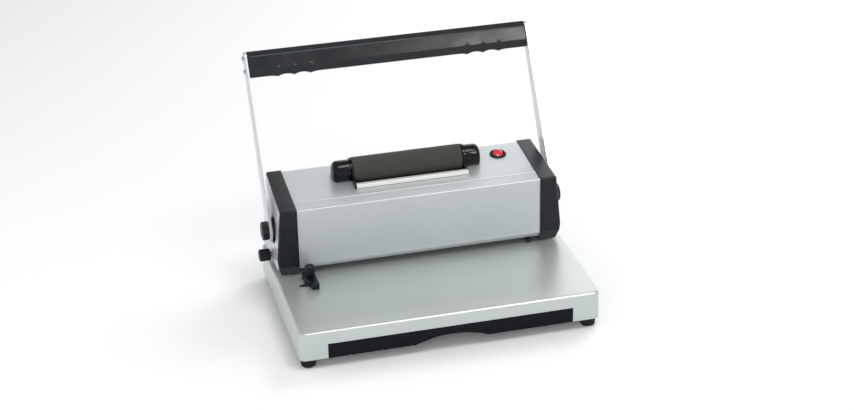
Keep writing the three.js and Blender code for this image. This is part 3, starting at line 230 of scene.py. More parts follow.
number, color, vector = "NodeSocketFloat", "NodeSocketColor", "NodeSocketVector"


def makeGroup(name, inputs, outputs):
    tree = bpy.data.node_groups.new(name, "ShaderNodeTree")
    for key, (kind, value) in inputs.items():
        tree.interface.new_socket(key, in_out="INPUT", socket_type=kind).default_value = value
    for key, kind in outputs.items():
        tree.interface.new_socket(key, in_out="OUTPUT", socket_type=kind)
    return tree, tree.nodes.new("NodeGroupInput").outputs, tree.nodes.new("NodeGroupOutput")


# Grain: fine noise, as height for the bump and as a mask for the roughness
def makeGrain():
    tree, given, made = makeGroup("fineGrain", {"Scale": (number, 900.0), "Stretch": (vector, (1, 1, 1))},
                                  {"Height": number, "Mask": number})
    noise = objectNoise(tree, given["Scale"], detail=3.0, roughness=0.55, stretch=given["Stretch"])
    setInputs(tree, made, {"Height": noise, "Mask": spread(tree, noise, 0.3, 0.7)})
    return tree


# Drift: the colour wanders a little lighter and darker in soft clouds
def makeDrift():
    tree, given, made = makeGroup("toneDrift", {"Color": (color, (0.5, 0.5, 0.5, 1)), "Scale": (number, 8.0),
                                                "Amount": (number, 0.05)}, {"Color": color})
    cloud = objectNoise(tree, given["Scale"], detail=2.0, distortion=0.4)
    swing = spread(tree, cloud, 0.25, 0.75, -1.0, 1.0)
    level = compute(tree, "MULTIPLY_ADD", swing, given["Amount"], 1.0)
    tinted = addNode(tree, "HueSaturation", {"Color": given["Color"], "Value": level})
    setInputs(tree, made, {"Color": tinted})
    return tree


# Wear: sharp outer edges lose their colour in small broken patches
def makeWear():
    tree, given, made = makeGroup("edgeWear", {"Reach": (number, 0.06), "Amount": (number, 0.5),
                                               "Scale": (number, 160.0)}, {"Mask": number})
    edge = compute(tree, "SUBTRACT", addNode(tree, "NewGeometry", out="Pointiness"), 0.5)
    near = compute(tree, "DIVIDE", edge, given["Reach"], clamp=True)
    broken = spread(tree, objectNoise(tree, given["Scale"], detail=4.0), 0.45, 0.62)
    level = compute(tree, "MULTIPLY", compute(tree, "MULTIPLY", near, broken), given["Amount"], clamp=True)
    setInputs(tree, made, {"Mask": level})
    return tree


# Dust: faint specks that settle where the surface faces up
def makeDust():
    tree, given, made = makeGroup("settledDust", {"Amount": (number, 0.1), "Scale": (number, 700.0)},
                                  {"Mask": number})
    normal = addNode(tree, "NewGeometry", out="Normal")
    upward = spread(tree, addNode(tree, "SeparateXYZ", {0: normal}, out="Z"), 0.3, 1.0)
    specks = spread(tree, objectNoise(tree, given["Scale"], detail=5.0, roughness=0.7), 0.5, 0.75)
    level = compute(tree, "MULTIPLY", compute(tree, "MULTIPLY", upward, specks), given["Amount"], clamp=True)
    setInputs(tree, made, {"Mask": level})
    return tree


groups = {"grain": makeGrain(), "drift": makeDrift(), "wear": makeWear(), "dust": makeDust()}


def placeGroup(tree, name, **inputs):
    return addNode(tree, "Group", inputs, node_tree=groups[name]).node.outputs


def drifting(tree, tone, scale, amount):
    return placeGroup(tree, "drift", Color=tone, Scale=scale, Amount=amount)["Color"]


# Finishes, one dictionary of values for each; bump is the depth of the grain in millimetres

millimetre = 0.001
dustColor = (150, 150, 148)
paint = {"roughness": 0.36, "rough": 0.06, "metallic": 0.55, "grain": 1500, "bump": 0.012, "wear": 0.15,
         "coat": 0.15}
finishValues = {
    "silver_paint": {**paint, "color": (189, 194, 196), "roughness": 0.38, "metallic": 0.6, "drift": 0.035,
                     "driftScale": 7, "worn": (205, 208, 208)},
    "base_paint": {**paint, "color": (188, 195, 194), "drift": 0.03, "driftScale": 6,
                   "worn": (200, 203, 202)},
    "side_paint": {**paint, "color": (186, 188, 194), "drift": 0.04, "driftScale": 12, "bump": 0.01,
                   "wear": 0.1, "worn": (205, 208, 210), "coat": 0.1},
    "dark_steel": {"color": (46, 49, 53), "roughness": 0.5, "metallic": 0.3, "drift": 0.08, "driftScale": 14,
                   "grain": 1200, "bump": 0.02, "wear": 0.3, "worn": (120, 122, 124)},
    "tool_steel": {"color": (143, 147, 151), "roughness": 0.34, "metallic": 0.95, "drift": 0.06,
                   "driftScale": 30, "stretch": (0.04, 1, 1), "bump": 0.02, "rough": 0.12, "wear": 0.2,
                   "worn": (190, 192, 194)},
    "bright_steel": {"color": (200, 203, 205), "roughness": 0.24, "metallic": 1.0, "drift": 0.04,
                     "driftScale": 40, "stretch": (1, 0.06, 0.06), "bump": 0.01, "rough": 0.08,
                     "worn": (220, 221, 222)},
    "arm_metal": {"color": (206, 209, 212), "roughness": 0.3, "metallic": 0.7, "drift": 0.03,
                  "driftScale": 16, "grain": 800, "stretch": (1, 1, 0.03), "bump": 0.004, "rough": 0.04,
                  "wear": 0.12, "worn": (228, 229, 230)},
    # near-white and barely metallic: the bright metal's own colour with a painted reflection of the white
    # surroundings
    "trough_metal": {"color": (224, 225, 220), "roughness": 0.42, "metallic": 0.15, "drift": 0.03,
                     "driftScale": 20, "stretch": (0.03, 1, 1), "bump": 0.015, "wear": 0.05,
                     "worn": (232, 232, 232)},
    "black_plastic": {"color": (9, 13, 20), "roughness": 0.34, "specular": 0.24, "coat": 0.15, "drift": 0.08,
                      "driftScale": 18, "grain": 1300, "bump": 0.05, "wear": 0.12, "worn": (50, 53, 57),
                      "dust": 0.02},
    "drawer_black": {"color": (8, 10, 17), "roughness": 0.24, "specular": 0.13, "drift": 0.06,
                     "driftScale": 10, "grain": 1000, "bump": 0.012, "rough": 0.06, "worn": (36, 39, 45)},
    "gloss_black": {"color": (7, 10, 16), "roughness": 0.13, "specular": 0.26, "drift": 0.05,
                    "driftScale": 20, "grain": 500, "bump": 0.006, "rough": 0.04, "wear": 0.06,
                    "worn": (34, 37, 42)},
    "black_rubber": {"color": (20, 21, 22), "roughness": 0.8, "specular": 0.3, "drift": 0.1, "driftScale": 60,
                     "grain": 1100, "bump": 0.1, "rough": 0.08, "worn": (64, 64, 64), "dust": 0.08},
    "supply_case": {"color": (118, 122, 127), "roughness": 0.5, "metallic": 0.6, "drift": 0.15,
                    "driftScale": 60, "grain": 500, "bump": 0.02, "rough": 0.15, "worn": (160, 162, 164)},
}


# A finish: drifting colour, worn edges, dust, grain in roughness and bump
def makeFinish(name, color, worn, roughness, drift, driftScale, bump, rough=0.1, grain=900, wear=0.1,
               metallic=0.0, specular=0.5, coat=0.0, coatRoughness=0.15, dust=0.0, stretch=(1, 1, 1)):
    material, tree, shader = newMaterial(name)
    surface = drifting(tree, shade(*color), driftScale, drift)
    surface = mixed(tree, placeGroup(tree, "wear", Amount=wear)["Mask"], surface, shade(*worn))
    if dust:
        surface = mixed(tree, placeGroup(tree, "dust", Amount=dust)["Mask"], surface, shade(*dustColor))
    fine = placeGroup(tree, "grain", Scale=grain, Stretch=stretch)
    gloss = spread(tree, fine["Mask"], 0, 1, roughness - rough / 2, roughness + rough / 2)
    setInputs(tree, shader, {"Base Color": surface, "Roughness": gloss,
                             "Normal": bumped(tree, fine["Height"], bump * millimetre),
                             "Metallic": metallic, "Specular IOR Level": specular, "Coat Weight": coat,
                             "Coat Roughness": coatRoughness})
    return material


# the darker foam colour is a painted shade for the pits and low lumps, spread over the given range of bump
# heights
foamValues = {"light": (60, 59, 54), "dark": (50, 49, 45), "cells": 620.0, "pits": (0.05, 0.6), "lumps": 90.0,
              "lumpShare": 0.5, "ink": (0.2, 1.3), "drift": 0.07, "driftScale": 24.0, "depth": 0.00035,
              "strength": 0.6, "roughness": 0.96, "sheen": 0.05}


# Foam: small cells as pits, lighter skin between them, soft lumps below; pits and low lumps get a painted
# shade
def makeFoam(light, dark, cells, pits, lumps, lumpShare, ink, drift, driftScale, depth, strength, roughness,
             sheen):
    material, tree, shader = newMaterial("foam")
    place = addNode(tree, "TexCoord", out="Object")
    distance = addNode(tree, "TexVoronoi", {"Vector": place, "Scale": cells})
    lump = placeGroup(tree, "grain", Scale=lumps)["Mask"]
    height = compute(tree, "MULTIPLY_ADD", lump, lumpShare, spread(tree, distance, *pits))
    # painted shade: the skin colour darkens with the bump's depth, in the pits and between the lumps
    skin = mixed(tree, spread(tree, height, *ink), shade(*dark), shade(*light))
    setInputs(tree, shader, {"Base Color": drifting(tree, skin, driftScale, drift), "Roughness": roughness,
                             "Normal": bumped(tree, height, depth, strength), "Sheen Weight": sheen})
    return material


gripValues = {"color": (33, 36, 39), "worn": (86, 88, 90), "wear": 0.12, "drift": 0.12, "driftScale": 18.0,
              "gloss": (0.13, 0.3), "cloud": 26.0, "lines": 420.0, "lineShare": 0.12, "stretch": (0.02, 1, 1),
              "wave": 0.00009, "specular": 0.25}


# Grip: extruded plastic with faint draw lines along it and a wavy, cloudy gloss
def makeGripFinish(color, worn, wear, drift, driftScale, gloss, cloud, lines, lineShare, stretch, wave,
                   specular):
    material, tree, shader = newMaterial("grip_black")
    surface = drifting(tree, shade(*color), driftScale, drift)
    surface = mixed(tree, placeGroup(tree, "wear", Amount=wear)["Mask"], surface, shade(*worn))
    drawn = placeGroup(tree, "grain", Scale=lines, Stretch=stretch)["Height"]
    clouds = placeGroup(tree, "grain", Scale=cloud)
    height = compute(tree, "MULTIPLY_ADD", drawn, lineShare, clouds["Height"])
    setInputs(tree, shader, {"Base Color": surface, "Roughness": spread(tree, clouds["Mask"], 0, 1, *gloss),
                             "Normal": bumped(tree, height, wave), "Specular IOR Level": specular})
    return material


# the deeper red is a painted shade for the lens's rim
lensValues = {"color": (204, 40, 54), "deep": (112, 6, 18), "drift": 0.22, "driftScale": 320.0, "blend": 0.35,
              "grain": 500.0, "depth": 0.00003, "strength": 0.5, "roughness": 0.1, "coat": 0.8,
              "glow": (255, 66, 78), "glowStrength": 0.08}


# Lens: clear red plastic, its red deepened towards the rim as a painted shade of the dome, lit a little from
# below
def makeLens(color, deep, drift, driftScale, blend, grain, depth, strength, roughness, coat, glow,
             glowStrength):
    material, tree, shader = newMaterial("red_lens")
    clear = drifting(tree, shade(*color), driftScale, drift)
    # painted shade: the red darkens where the surface turns away from the view
    edge = addNode(tree, "LayerWeight", {"Blend": blend}, out="Facing")
    height = placeGroup(tree, "grain", Scale=grain)["Height"]
    setInputs(tree, shader, {"Base Color": mixed(tree, edge, clear, shade(*deep)),
                             "Normal": bumped(tree, height, depth, strength), "Roughness": roughness,
                             "Coat Weight": coat, "Emission Color": shade(*glow),
                             "Emission Strength": glowStrength})
    return material


finishes = {name: makeFinish(name, **values) for name, values in finishValues.items()}
finishes["foam"] = makeFoam(**foamValues)
finishes["grip_black"] = makeGripFinish(**gripValues)
finishes["red_lens"] = makeLens(**lensValues)
print("finishes made:", len(finishes))


# Shape helpers: whole arrays in, one piece out

tiny = 1e-12
quarter, halfTurn, fullTurn = np.pi / 2, np.pi, 2 * np.pi


def unit(vectors):
    return vectors / np.maximum(np.linalg.norm(vectors, axis=-1, keepdims=True), tiny)


# Angles of a full turn in equal steps
def around(sides):
    return np.arange(sides) * fullTurn / sides


# Round each corner the line follows (1-t)^2 start + 2t(1-t) corner + t^2 end, start and end a radius from it
def rounded(points, radii, steps=5, closed=False, same=1e-7):
    corner = np.asarray(points, float)
    radius = np.broadcast_to(np.asarray(radii, float), len(corner))[:, None]
    start = corner + unit(np.roll(corner, 1, 0) - corner) * radius
    end = corner + unit(np.roll(corner, -1, 0) - corner) * radius
    t = np.linspace(0, 1, steps + 1)[None, :, None]
    line = (1 - t) ** 2 * start[:, None] + 2 * t * (1 - t) * corner[:, None] + t ** 2 * end[:, None]
    if not closed:
        line[0], line[-1] = corner[0], corner[-1]
    line = line.reshape(-1, corner.shape[1])
    apart = np.linalg.norm(line - np.roll(line, 1, 0), axis=1) > same
    apart[0] |= not closed
    return line[apart]


# The line's own points with even ones between them, and each one's distance along the line
def evened(line, count):
    stretch = np.r_[0, np.cumsum(np.linalg.norm(np.diff(line, axis=0), axis=1))]
    even = np.union1d(stretch, np.linspace(0, stretch[-1], count))
    return np.stack([np.interp(even, stretch, line[:, 0]), np.interp(even, stretch, line[:, 1])], -1), even


# Unit vectors square to the line, to the right of its way
def beside(line, spacing=1.0):
    ahead = unit(np.gradient(line, spacing, axis=0))
    return np.stack([ahead[:, 1], -ahead[:, 0]], -1)


# Faces of a grid whose point (i, j) has number i * columns + j
def gridFaces(rows, columns, closeRows=False, closeColumns=True):
    i = np.arange(rows if closeRows else rows - 1)[:, None]
    j = np.arange(columns if closeColumns else columns - 1)[None, :]
    nextI, nextJ = (i + 1) % rows, (j + 1) % columns
    corners = [i * columns + j, i * columns + nextJ, nextI * columns + nextJ, nextI * columns + j]
    return np.stack(np.broadcast_arrays(*corners), -1).reshape(-1, 4)


# Faces of such a grid with its first and last row closed flat
def tubeFaces(rows, columns):
    ends = [list(range(columns)), list(range((rows - 1) * columns, rows * columns))]
    return [*gridFaces(rows, columns).tolist(), *ends]


# A piece has its solid's name in camel case
def pieceName(node):
    first, *others = node.split("_")
    return first + "".join(word.title() for word in others)


# Points of a frame in the scene, and the points of a piece in a frame
def placed(points, place):
    return points.reshape(-1, 3) @ np.array(place.to_3x3()).T + np.array(place.translation)


def pointsIn(piece, place):
    points = np.empty(3 * len(piece.data.vertices))
    piece.data.vertices.foreach_get("co", points)
    return (points.reshape(-1, 3) - np.array(place.translation)) @ np.array(place.to_3x3())


# The chosen points of a piece move by a shift that is given in the frame
def shifted(piece, place, chosen, shift):
    local = pointsIn(piece, place)
    local[chosen] += shift
    piece.data.vertices.foreach_set("co", placed(local, place).ravel())
    piece.data.update()


def smoothPiece(name, mesh, sharp=35):
    piece = bpy.data.objects.new(name, mesh)
    mesh.shade_smooth()
    mesh.set_sharp_from_angle(angle=math.radians(sharp))
    bpy.context.scene.collection.objects.link(piece)
    return piece


def newPiece(name, points, faces, place=Matrix.Identity(4), sharp=35, weld=4e-6, outward=True):
    mesh = bpy.data.meshes.new(name)
    mesh.from_pydata(placed(points, place).tolist(), [], [list(map(int, face)) for face in faces])
    shape = bmesh.new()
    shape.from_mesh(mesh)
    bmesh.ops.remove_doubles(shape, verts=shape.verts, dist=weld)
    bmesh.ops.dissolve_degenerate(shape, edges=shape.edges, dist=weld)
    if outward:
        bmesh.ops.recalc_face_normals(shape, faces=shape.faces)
    shape.to_mesh(mesh)
    shape.free()
    return smoothPiece(name, mesh, sharp)


# A copy of a solid with its corners joined again and its flat faces whole
def copyOf(node, weld=2e-6, flat=0.4):
    mesh = nodes[node].data.copy()
    mesh.name = pieceName(node)
    shape = bmesh.new()
    shape.from_mesh(mesh)
    bmesh.ops.remove_doubles(shape, verts=shape.verts, dist=weld)
    bmesh.ops.dissolve_limit(shape, angle_limit=math.radians(flat), verts=shape.verts, edges=shape.edges)
    shape.to_mesh(mesh)
    shape.free()
    if mesh.has_custom_normals:
        mesh.normals_split_custom_set([(0, 0, 0)] * len(mesh.loops))
    return smoothPiece(pieceName(node), mesh)


def roundEdges(piece, width, segments=2, angle=38, weight=60):
    bevel = piece.modifiers.new("edges", "BEVEL")
    bevel.width = width
    bevel.segments = segments
    bevel.limit_method = "ANGLE"
    bevel.angle_limit = math.radians(angle)
    bevel.use_clamp_overlap = True
    bevel.harden_normals = False
    weighted = piece.modifiers.new("normals", "WEIGHTED_NORMAL")
    weighted.keep_sharp = False
    weighted.weight = weight
    return piece


# The piece takes its finish, rides on its body, and stands for the solids named
def finishPiece(piece, slot, *standsFor, body=None):
    piece.data.materials.clear()
    piece.data.materials.append(finishes[slot])
    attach(piece, body or bodyOf[standsFor[0]])
    if standsFor:
        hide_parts(*standsFor)


# Copies of solids that only need rounded edges and a finish
def dressCopies(edges):
    for node, (width, slot) in edges.items():
        finishPiece(roundEdges(copyOf(node), width), slot, node)


# Grid of points (level, reach cos v, reach sin v)
def ringed(level, reach, v):
    return np.stack([np.broadcast_to(level, reach.shape), reach * np.cos(v), reach * np.sin(v)], -1)


# Revolution: point(u, v) = axis * along(u) + (across cos v + up sin v) * (radius(u) - ribDepth * wave(v)),
# with wave(v) = (0.5 - 0.5 cos(ribs v))^ribShape, felt only near the rim
def turned(name, profile, place, axis="x", sides=72, ribs=0, ribDepth=0.0, ribInner=0.0, ribShape=0.6,
           closed=False):
    along, radius = np.asarray(profile, float).T
    v = around(sides)
    rim = np.clip((radius - ribInner) / max(radius.max() - ribInner, tiny), 0, 1)
    wave = (0.5 - 0.5 * np.cos(ribs * v)) ** ribShape if ribs else np.zeros_like(v)
    reach = radius[:, None] - ribDepth * rim[:, None] * wave[None, :]
    grid = ringed(along[:, None], reach, v)
    if axis == "z":
        grid = np.roll(grid, -1, -1)
    return newPiece(name, grid, gridFaces(len(along), sides, closeRows=closed), place)


# Prism: a closed outline, given as (back, up), carried along X from -half to half
def carried(name, outline, half, place, sharp=35):
    count = len(outline)
    grid = np.column_stack([np.repeat([-half, half], count), np.tile(outline, (2, 1))])
    return newPiece(name, grid, tubeFaces(2, count), place, sharp)


# Base: shell, drawer, guides and feet

baseEdges = {"base_shell": (0.0005, "base_paint"), "chip_drawer": (0.0007, "drawer_black"),
             "edge_guide": (0.0009, "black_plastic"), "right_stop": (0.0009, "black_plastic")}


# Upright through the middle of a solid's box, at the given height
def uprightAt(node, z):
    low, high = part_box(node)
    return at((low.x + high.x) / 2, (low.y + high.y) / 2, z)


footValues = {"top": 0.0105, "bottom": 0.0095, "height": 0.013, "dish": 0.0012, "dishFloor": 0.00475,
              "dishRim": 0.00589, "waist": 0.0101, "waistHeight": 0.00585,
              "rounds": [0, 0.0012, 0.0008, 0.0028, 0.002, 0, 0], "sides": 48}


def makeFeet(top, bottom, height, dish, dishFloor, dishRim, waist, waistHeight, rounds, sides):
    profile = rounded([(dish, 0), (dish, dishFloor), (0, dishRim), (0, bottom), (waistHeight, waist),
                       (height, top), (height, 0)], rounds, 6)
    for row in ("front", "rear"):
        for side in ("left", "right"):
            node = f"foot_{row}_{side}"
            foot = turned(pieceName(node), profile, uprightAt(node, 0), "z", sides)
            finishPiece(foot, "black_rubber", node)


guideKnobValues = {
    "radius": 0.0064, "height": 0.0147, "stud": 0.0025, "studLength": 0.013, "neck": 0.0052,
    "neckTop": 0.001764, "shoulder": 0.00294, "dish": 0.0009, "dishRim": 0.004608, "dishFloor": 0.004224,
    "rounds": [0, 0.0005, 0, 0.0004, 0.0006, 0.0006, 0.0009, 0.0005, 0.0005, 0],
    "ribs": 18, "ribDepth": 0.0005, "ribInner": 0.0054, "sides": 108,
}


def makeGuideKnob(radius, height, stud, studLength, neck, neckTop, shoulder, dish, dishRim, dishFloor, rounds,
                  **ribbing):
    profile = rounded([(-studLength, 0), (-studLength, stud), (0, stud), (0, neck), (neckTop, neck),
                       (shoulder, radius), (height, radius), (height, dishRim), (height - dish, dishFloor),
                       (height - dish, 0)], rounds)
    node = "edge_guide_knob"
    knob = turned("guideKnob", profile, uprightAt(node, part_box(node)[1].z - height), "z", **ribbing)
    finishPiece(knob, "black_plastic", node)


dressCopies(baseEdges)
makeFeet(**footValues)
makeGuideKnob(**guideKnobValues)
print("base dressed")


# Head: covers, caps, side panels

beadValues = {"back": 0.0203, "half": 0.1746, "width": 0.0015, "height": 0.0009, "root": 0.0003, "steps": 10}


# Rolled front edge of the top cover: (y, z) = (back - width / 2 cos v, height sin v), carried along the seam
def makeSeamBead(back, half, width, height, root, steps):
    v = np.linspace(0, halfTurn, steps)
    outline = np.stack([back - width / 2 * np.cos(v), height * np.sin(v)], -1)
    outline = np.concatenate([outline, outline[[-1, 0]] - [0, root]])
    finishPiece(carried("seamBead", outline, half, topPlace, sharp=50), "silver_paint", body="frame")


coverEdge = 0.0003
wellValues = {"half": 0.0777, "reach": 0.02, "front": 0.0512, "rear": 0.0906, "skin": 0.002, "near": 0.0002}


# The roller's well in the top cover opens further than in the solid, for the full foam
def widenWell(cover, half, reach, front, rear, skin, near):
    local = pointsIn(cover, topPlace)
    x, y, z = np.abs(local[:, 0]), local[:, 1], np.abs(local[:, 2])
    rim = y[(x < half) & (np.abs(y - head["rollerBack"]) < reach)]
    for edge, goal in ((rim.min(), front), (rim.max(), rear)):
        shifted(cover, topPlace, (x < half) & (z < skin) & (np.abs(y - edge) < near), (0, goal - edge, 0))


def dressCovers(edge):
    for node in ("front_cover", "top_cover", "rear_cover"):
        cover = copyOf(node)
        if node == "top_cover":
            widenWell(cover, **wellValues)
        finishPiece(roundEdges(cover, edge), "silver_paint", node)


panelValues = {"edge": 0.0004, "foot": 0.0084, "drop": 0.0056, "flare": 0.092}


# The side panels reach down to the caps' foot, further than in the solids, and outward with their own lean
def dressPanels(edge, foot, drop, flare):
    for side, way in (("left", -1), ("right", 1)):
        node = f"side_panel_{side}"
        panel = copyOf(node)
        atFoot = pointsIn(panel, headPlace)[:, 2] < foot
        shifted(panel, headPlace, atFoot, (way * drop * flare, 0, -drop))
        finishPiece(roundEdges(panel, edge), "side_paint", node)


capValues = {
    "proud": 0.0015, "wall": 0.0026, "lipRise": 0.0024, "lipInset": 0.0052, "bevelHeight": 0.0158,
    "rearReturn": 0.009, "fold": 0.0019, "rearFold": 0.005, "inner": 0.1670, "step": 0.1753,
    "lapWall": 0.0009, "lapMiddle": 0.00054, "lapBevel": 0.0003, "innerEdge": 0.0002, "top": 0.190,
    "bulge": 0.1964, "bulgeHeight": 0.026, "foot": 0.1915, "over": 0.2, "easing": 8, "samples": 400,
    "taper": 0.0025, "edge": 0.0025, "rows": 90,
}


# End cap: a rim section with a rounded outer edge is carried along the cap's outline in Y and Z; its outer
# side follows reach(z), swelling towards the base and eased where that turns, less a taper to the back
def makeEndCaps(proud, wall, lipRise, lipInset, bevelHeight, rearReturn, fold, rearFold, inner, step, lapWall,
                lapMiddle, lapBevel, innerEdge, top, bulge, bulgeHeight, foot, over, easing, samples, taper,
                edge, rows):
    height, back = head["frontHeight"], head["depth"] + proud
    rearTop = height + head["depth"] * math.tan(slope)
    corners = [(lipInset - proud, lipRise), (-proud, bevelHeight), (-proud, height + proud),
               (back, rearTop + proud), (back, rearTop - rearReturn)]
    path, even = evened(rounded(corners, [0, fold, fold, rearFold, 0], 8), rows)
    inward = beside(path, even)
    flare = (bulge - top) / (height - bulgeHeight)
    heights = [lipRise, bevelHeight, bulgeHeight, height, over]
    reaches = [foot, bulge - flare * (bulgeHeight - bevelHeight), bulge, top, top]
    fine = np.linspace(lipRise, over, samples)
    kernel = np.hanning(2 * easing + 1)
    sharp = np.pad(np.interp(fine, heights, reaches), easing, mode="edge")
    eased = np.convolve(sharp, kernel / kernel.sum(), mode="valid")
    outer = np.minimum(np.interp(path[:, 1], fine, eased), np.interp(path[:, 1], heights, reaches))
    outer = (outer - taper * np.clip(path[:, 0] / head["depth"], 0, 1))[:, None]
    # the section's points as (x from the outer side or from the middle, depth under the face)
    t = np.linspace(0, quarter, 7)
    rim = np.stack([edge * np.sin(t) - edge, edge - edge * np.cos(t)], -1)
    rim = np.concatenate([rim, [(0, wall - innerEdge), (-innerEdge, wall)]])
    lap = np.array([(step, wall), (step, lapWall), (inner + lapBevel, lapWall), (inner, lapMiddle),
                    (inner + innerEdge, 0)])
    x = np.concatenate([outer + rim[:, 0], np.broadcast_to(lap[:, 0], (len(path), len(lap)))], 1)
    depth = np.concatenate([rim[:, 1], lap[:, 1]])[None, :, None]
    yz = path[:, None] + inward[:, None] * depth
    grid = np.concatenate([x[:, :, None], yz], 2)
    for side, place in bothSides(headPlace):
        node = f"end_cap_{side}"
        cap = newPiece(pieceName(node), grid, tubeFaces(*x.shape), place, sharp=32)
        finishPiece(cap, "black_plastic", node)


shadeLinerValues = {"start": 0.1803, "radius": 0.0187, "wall": 0.0009, "panelInner": 0.1865, "flare": 0.092,
               "gap": 0.0003, "sides": 64}


# Liner of the shaft's window, black as a painted shade for the dark gap round the pivot: a tube from the
# frame to the leaning panel, with x = start + share (face(z) - start), where face(z) is the panel's inner
# side at that height
def makeShadeLiners(start, radius, wall, panelInner, flare, gap, sides):
    v = around(sides)
    ring = np.array([radius, radius + wall])[[0, 0, 1, 1], None]
    share = np.array([0, 1, 1, 0])[:, None]
    face = panelInner + flare * (head["frontHeight"] - head["pivotRise"] - ring * np.sin(v)) - gap
    grid = np.stack([start + share * (face - start), ring * np.cos(v), ring * np.sin(v)], -1)
    for side, place in bothSides(pivotPlace):
        liner = newPiece(f"windowShadeLiner{side.title()}", grid, gridFaces(4, sides, closeRows=True), place)
        # painted shade: the black liner closes the window so that it shows dark
        finishPiece(liner, "black_plastic", body="frame")


bearingValues = {"sleeve": 0.0092, "flange": 0.0145, "nose": 0.0105, "bore": 0.0063, "inner": 0.175,
                 "seat": 0.1803, "flangeEnd": 0.1838, "noseEnd": 0.1947, "sides": 64,
                 "rounds": [0.0004, 0.0004, 0, 0.0003, 0.0008, 0.0008, 0.0008, 0.0004]}


def makeBearings(sleeve, flange, nose, bore, inner, seat, flangeEnd, noseEnd, sides, rounds):
    profile = rounded([(inner, bore), (inner, sleeve), (seat, sleeve), (seat, flange), (flangeEnd, flange),
                       (flangeEnd, nose), (noseEnd, nose), (noseEnd, bore)], rounds, 4, closed=True)
    for side, place in bothSides(pivotPlace):
        node = f"shaft_bearing_{side}"
        bearing = turned(pieceName(node), profile, place, sides=sides, closed=True)
        finishPiece(bearing, "dark_steel", node)


makeSeamBead(**beadValues)
dressCovers(coverEdge)
dressPanels(**panelValues)
makeEndCaps(**capValues)
makeShadeLiners(**shadeLinerValues)
makeBearings(**bearingValues)
print("head dressed")


# Lever: arms, grip, screws, knobs

gripShape = {
    "half": 0.1947, "bottom": 0.207, "height": 0.036, "front": 0.008, "back": 0.007, "narrowFront": 0.002,
    "narrowBack": 0.0035, "faceBottom": 0.008, "faceStep": 0.012, "faceTop": 0.028, "corner": 0.0014,
    "pitch": 0.0225, "first": 0.0395, "count": 3, "ridge": 0.0017, "hollow": 0.0008, "fade": 0.012,
    "dot": 0.0007, "dotSize": 0.0016, "end": 0.0008, "rows": 120, "ridgeRows": 33,
}


# Grip: the rounded section is carried along X; its lower edge falls to a ridge at each finger place and rises
# in an arc between two, lift(d) = hollow - (ridge + hollow) (1 - 2 d / pitch)^2, d from the nearest ridge; a
# small dot stands out from the face over each ridge, dot * exp(-(distance / dotSize)^2)
def makeGrip(half, bottom, height, front, back, narrowFront, narrowBack, faceBottom, faceStep, faceTop,
             corner, pitch, first, count, ridge, hollow, fade, dot, dotSize, end, rows, ridgeRows):
    section = rounded([(-front, faceBottom), (-front, faceStep), (-front, faceTop), (-narrowFront, height),
                       (narrowBack, height), (back, faceTop), (back, faceBottom), (narrowBack, 0),
                       (-narrowFront, 0)], corner, closed=True)
    across, up = section[None, :, 0], section[None, :, 1]
    ridges = half - first - pitch * np.arange(count)
    outermost, innermost = ridges.max(), ridges.min()
    ridges = np.concatenate([-ridges, ridges])
    ends = half - end * (1 - np.cos(np.linspace(0, quarter, 5)))
    nearRidges = ridges[:, None] + np.linspace(-pitch / 2, pitch / 2, ridgeRows)
    x = np.concatenate([np.linspace(end - half, half - end, rows), ends, -ends, nearRidges.ravel()])
    x = np.unique(np.round(x, 7))
    x = x[np.abs(x) <= half][:, None]
    apart = np.abs(x - ridges).min(1, keepdims=True)
    arc = hollow - (ridge + hollow) * (1 - 2 * np.minimum(apart, pitch / 2) / pitch) ** 2
    fall = -ridge * np.clip(1 - apart / fade, 0, 1) ** 2
    lift = np.where((np.abs(x) < outermost) & (np.abs(x) > innermost), arc, fall)
    share = np.clip(1 - up / faceBottom, 0, 1)
    inset = np.maximum(end - (half - np.abs(x)), 0)
    shrink = 1 - (1 - np.sqrt(np.maximum(1 - (inset / end) ** 2, 0))) * end / front
    away = np.hypot(apart, up - faceBottom - dotSize)
    dots = dot * np.exp(-(away / dotSize) ** 2) * (across < 0)
    centreY, centreZ = (back - front) / 2, height / 2
    y = centreY + (across - centreY) * shrink - dots
    z = centreZ + (up - centreZ) * shrink + lift * share
    grid = np.stack([np.broadcast_to(x, y.shape), y, z + bottom], -1)
    bar = newPiece("gripBar", grid, tubeFaces(*y.shape), leverPlace, sharp=28)
    finishPiece(bar, "grip_black", "handle_grip")


knobRingValues = {"seat": 0.2055, "top": 0.2074, "inner": 0.0070, "outer": 0.0085, "corner": 0.0005,
                  "sides": 48}


# Steel ring in the knob's recess, a rounded band of revolution
def makeKnobRings(seat, top, inner, outer, corner, sides):
    profile = rounded([(seat, inner), (seat, outer), (top, outer), (top, inner)], corner, 4, closed=True)
    for side, place in bothSides(leverPlace):
        ring = turned(f"knobRing{side.title()}", profile, place, sides=sides, closed=True)
        finishPiece(ring, "tool_steel", body="lever")


armEdges = {"handle_arm_right": (0.0006, "arm_metal"), "handle_arm_left": (0.0006, "arm_metal")}

screwValues = {"seat": 0.1993, "top": 0.2015, "radius": 0.0036, "domeTop": 0.003096, "shank": 0.002,
               "length": 0.012, "socketRim": 0.00162, "socketFloor": 0.0015525, "socketDepth": 0.0012,
               "spacing": 0.018, "middle": 0.225, "rounds": [0, 0.0003, 0, 0.0003, 0.0014, 0], "sides": 48}


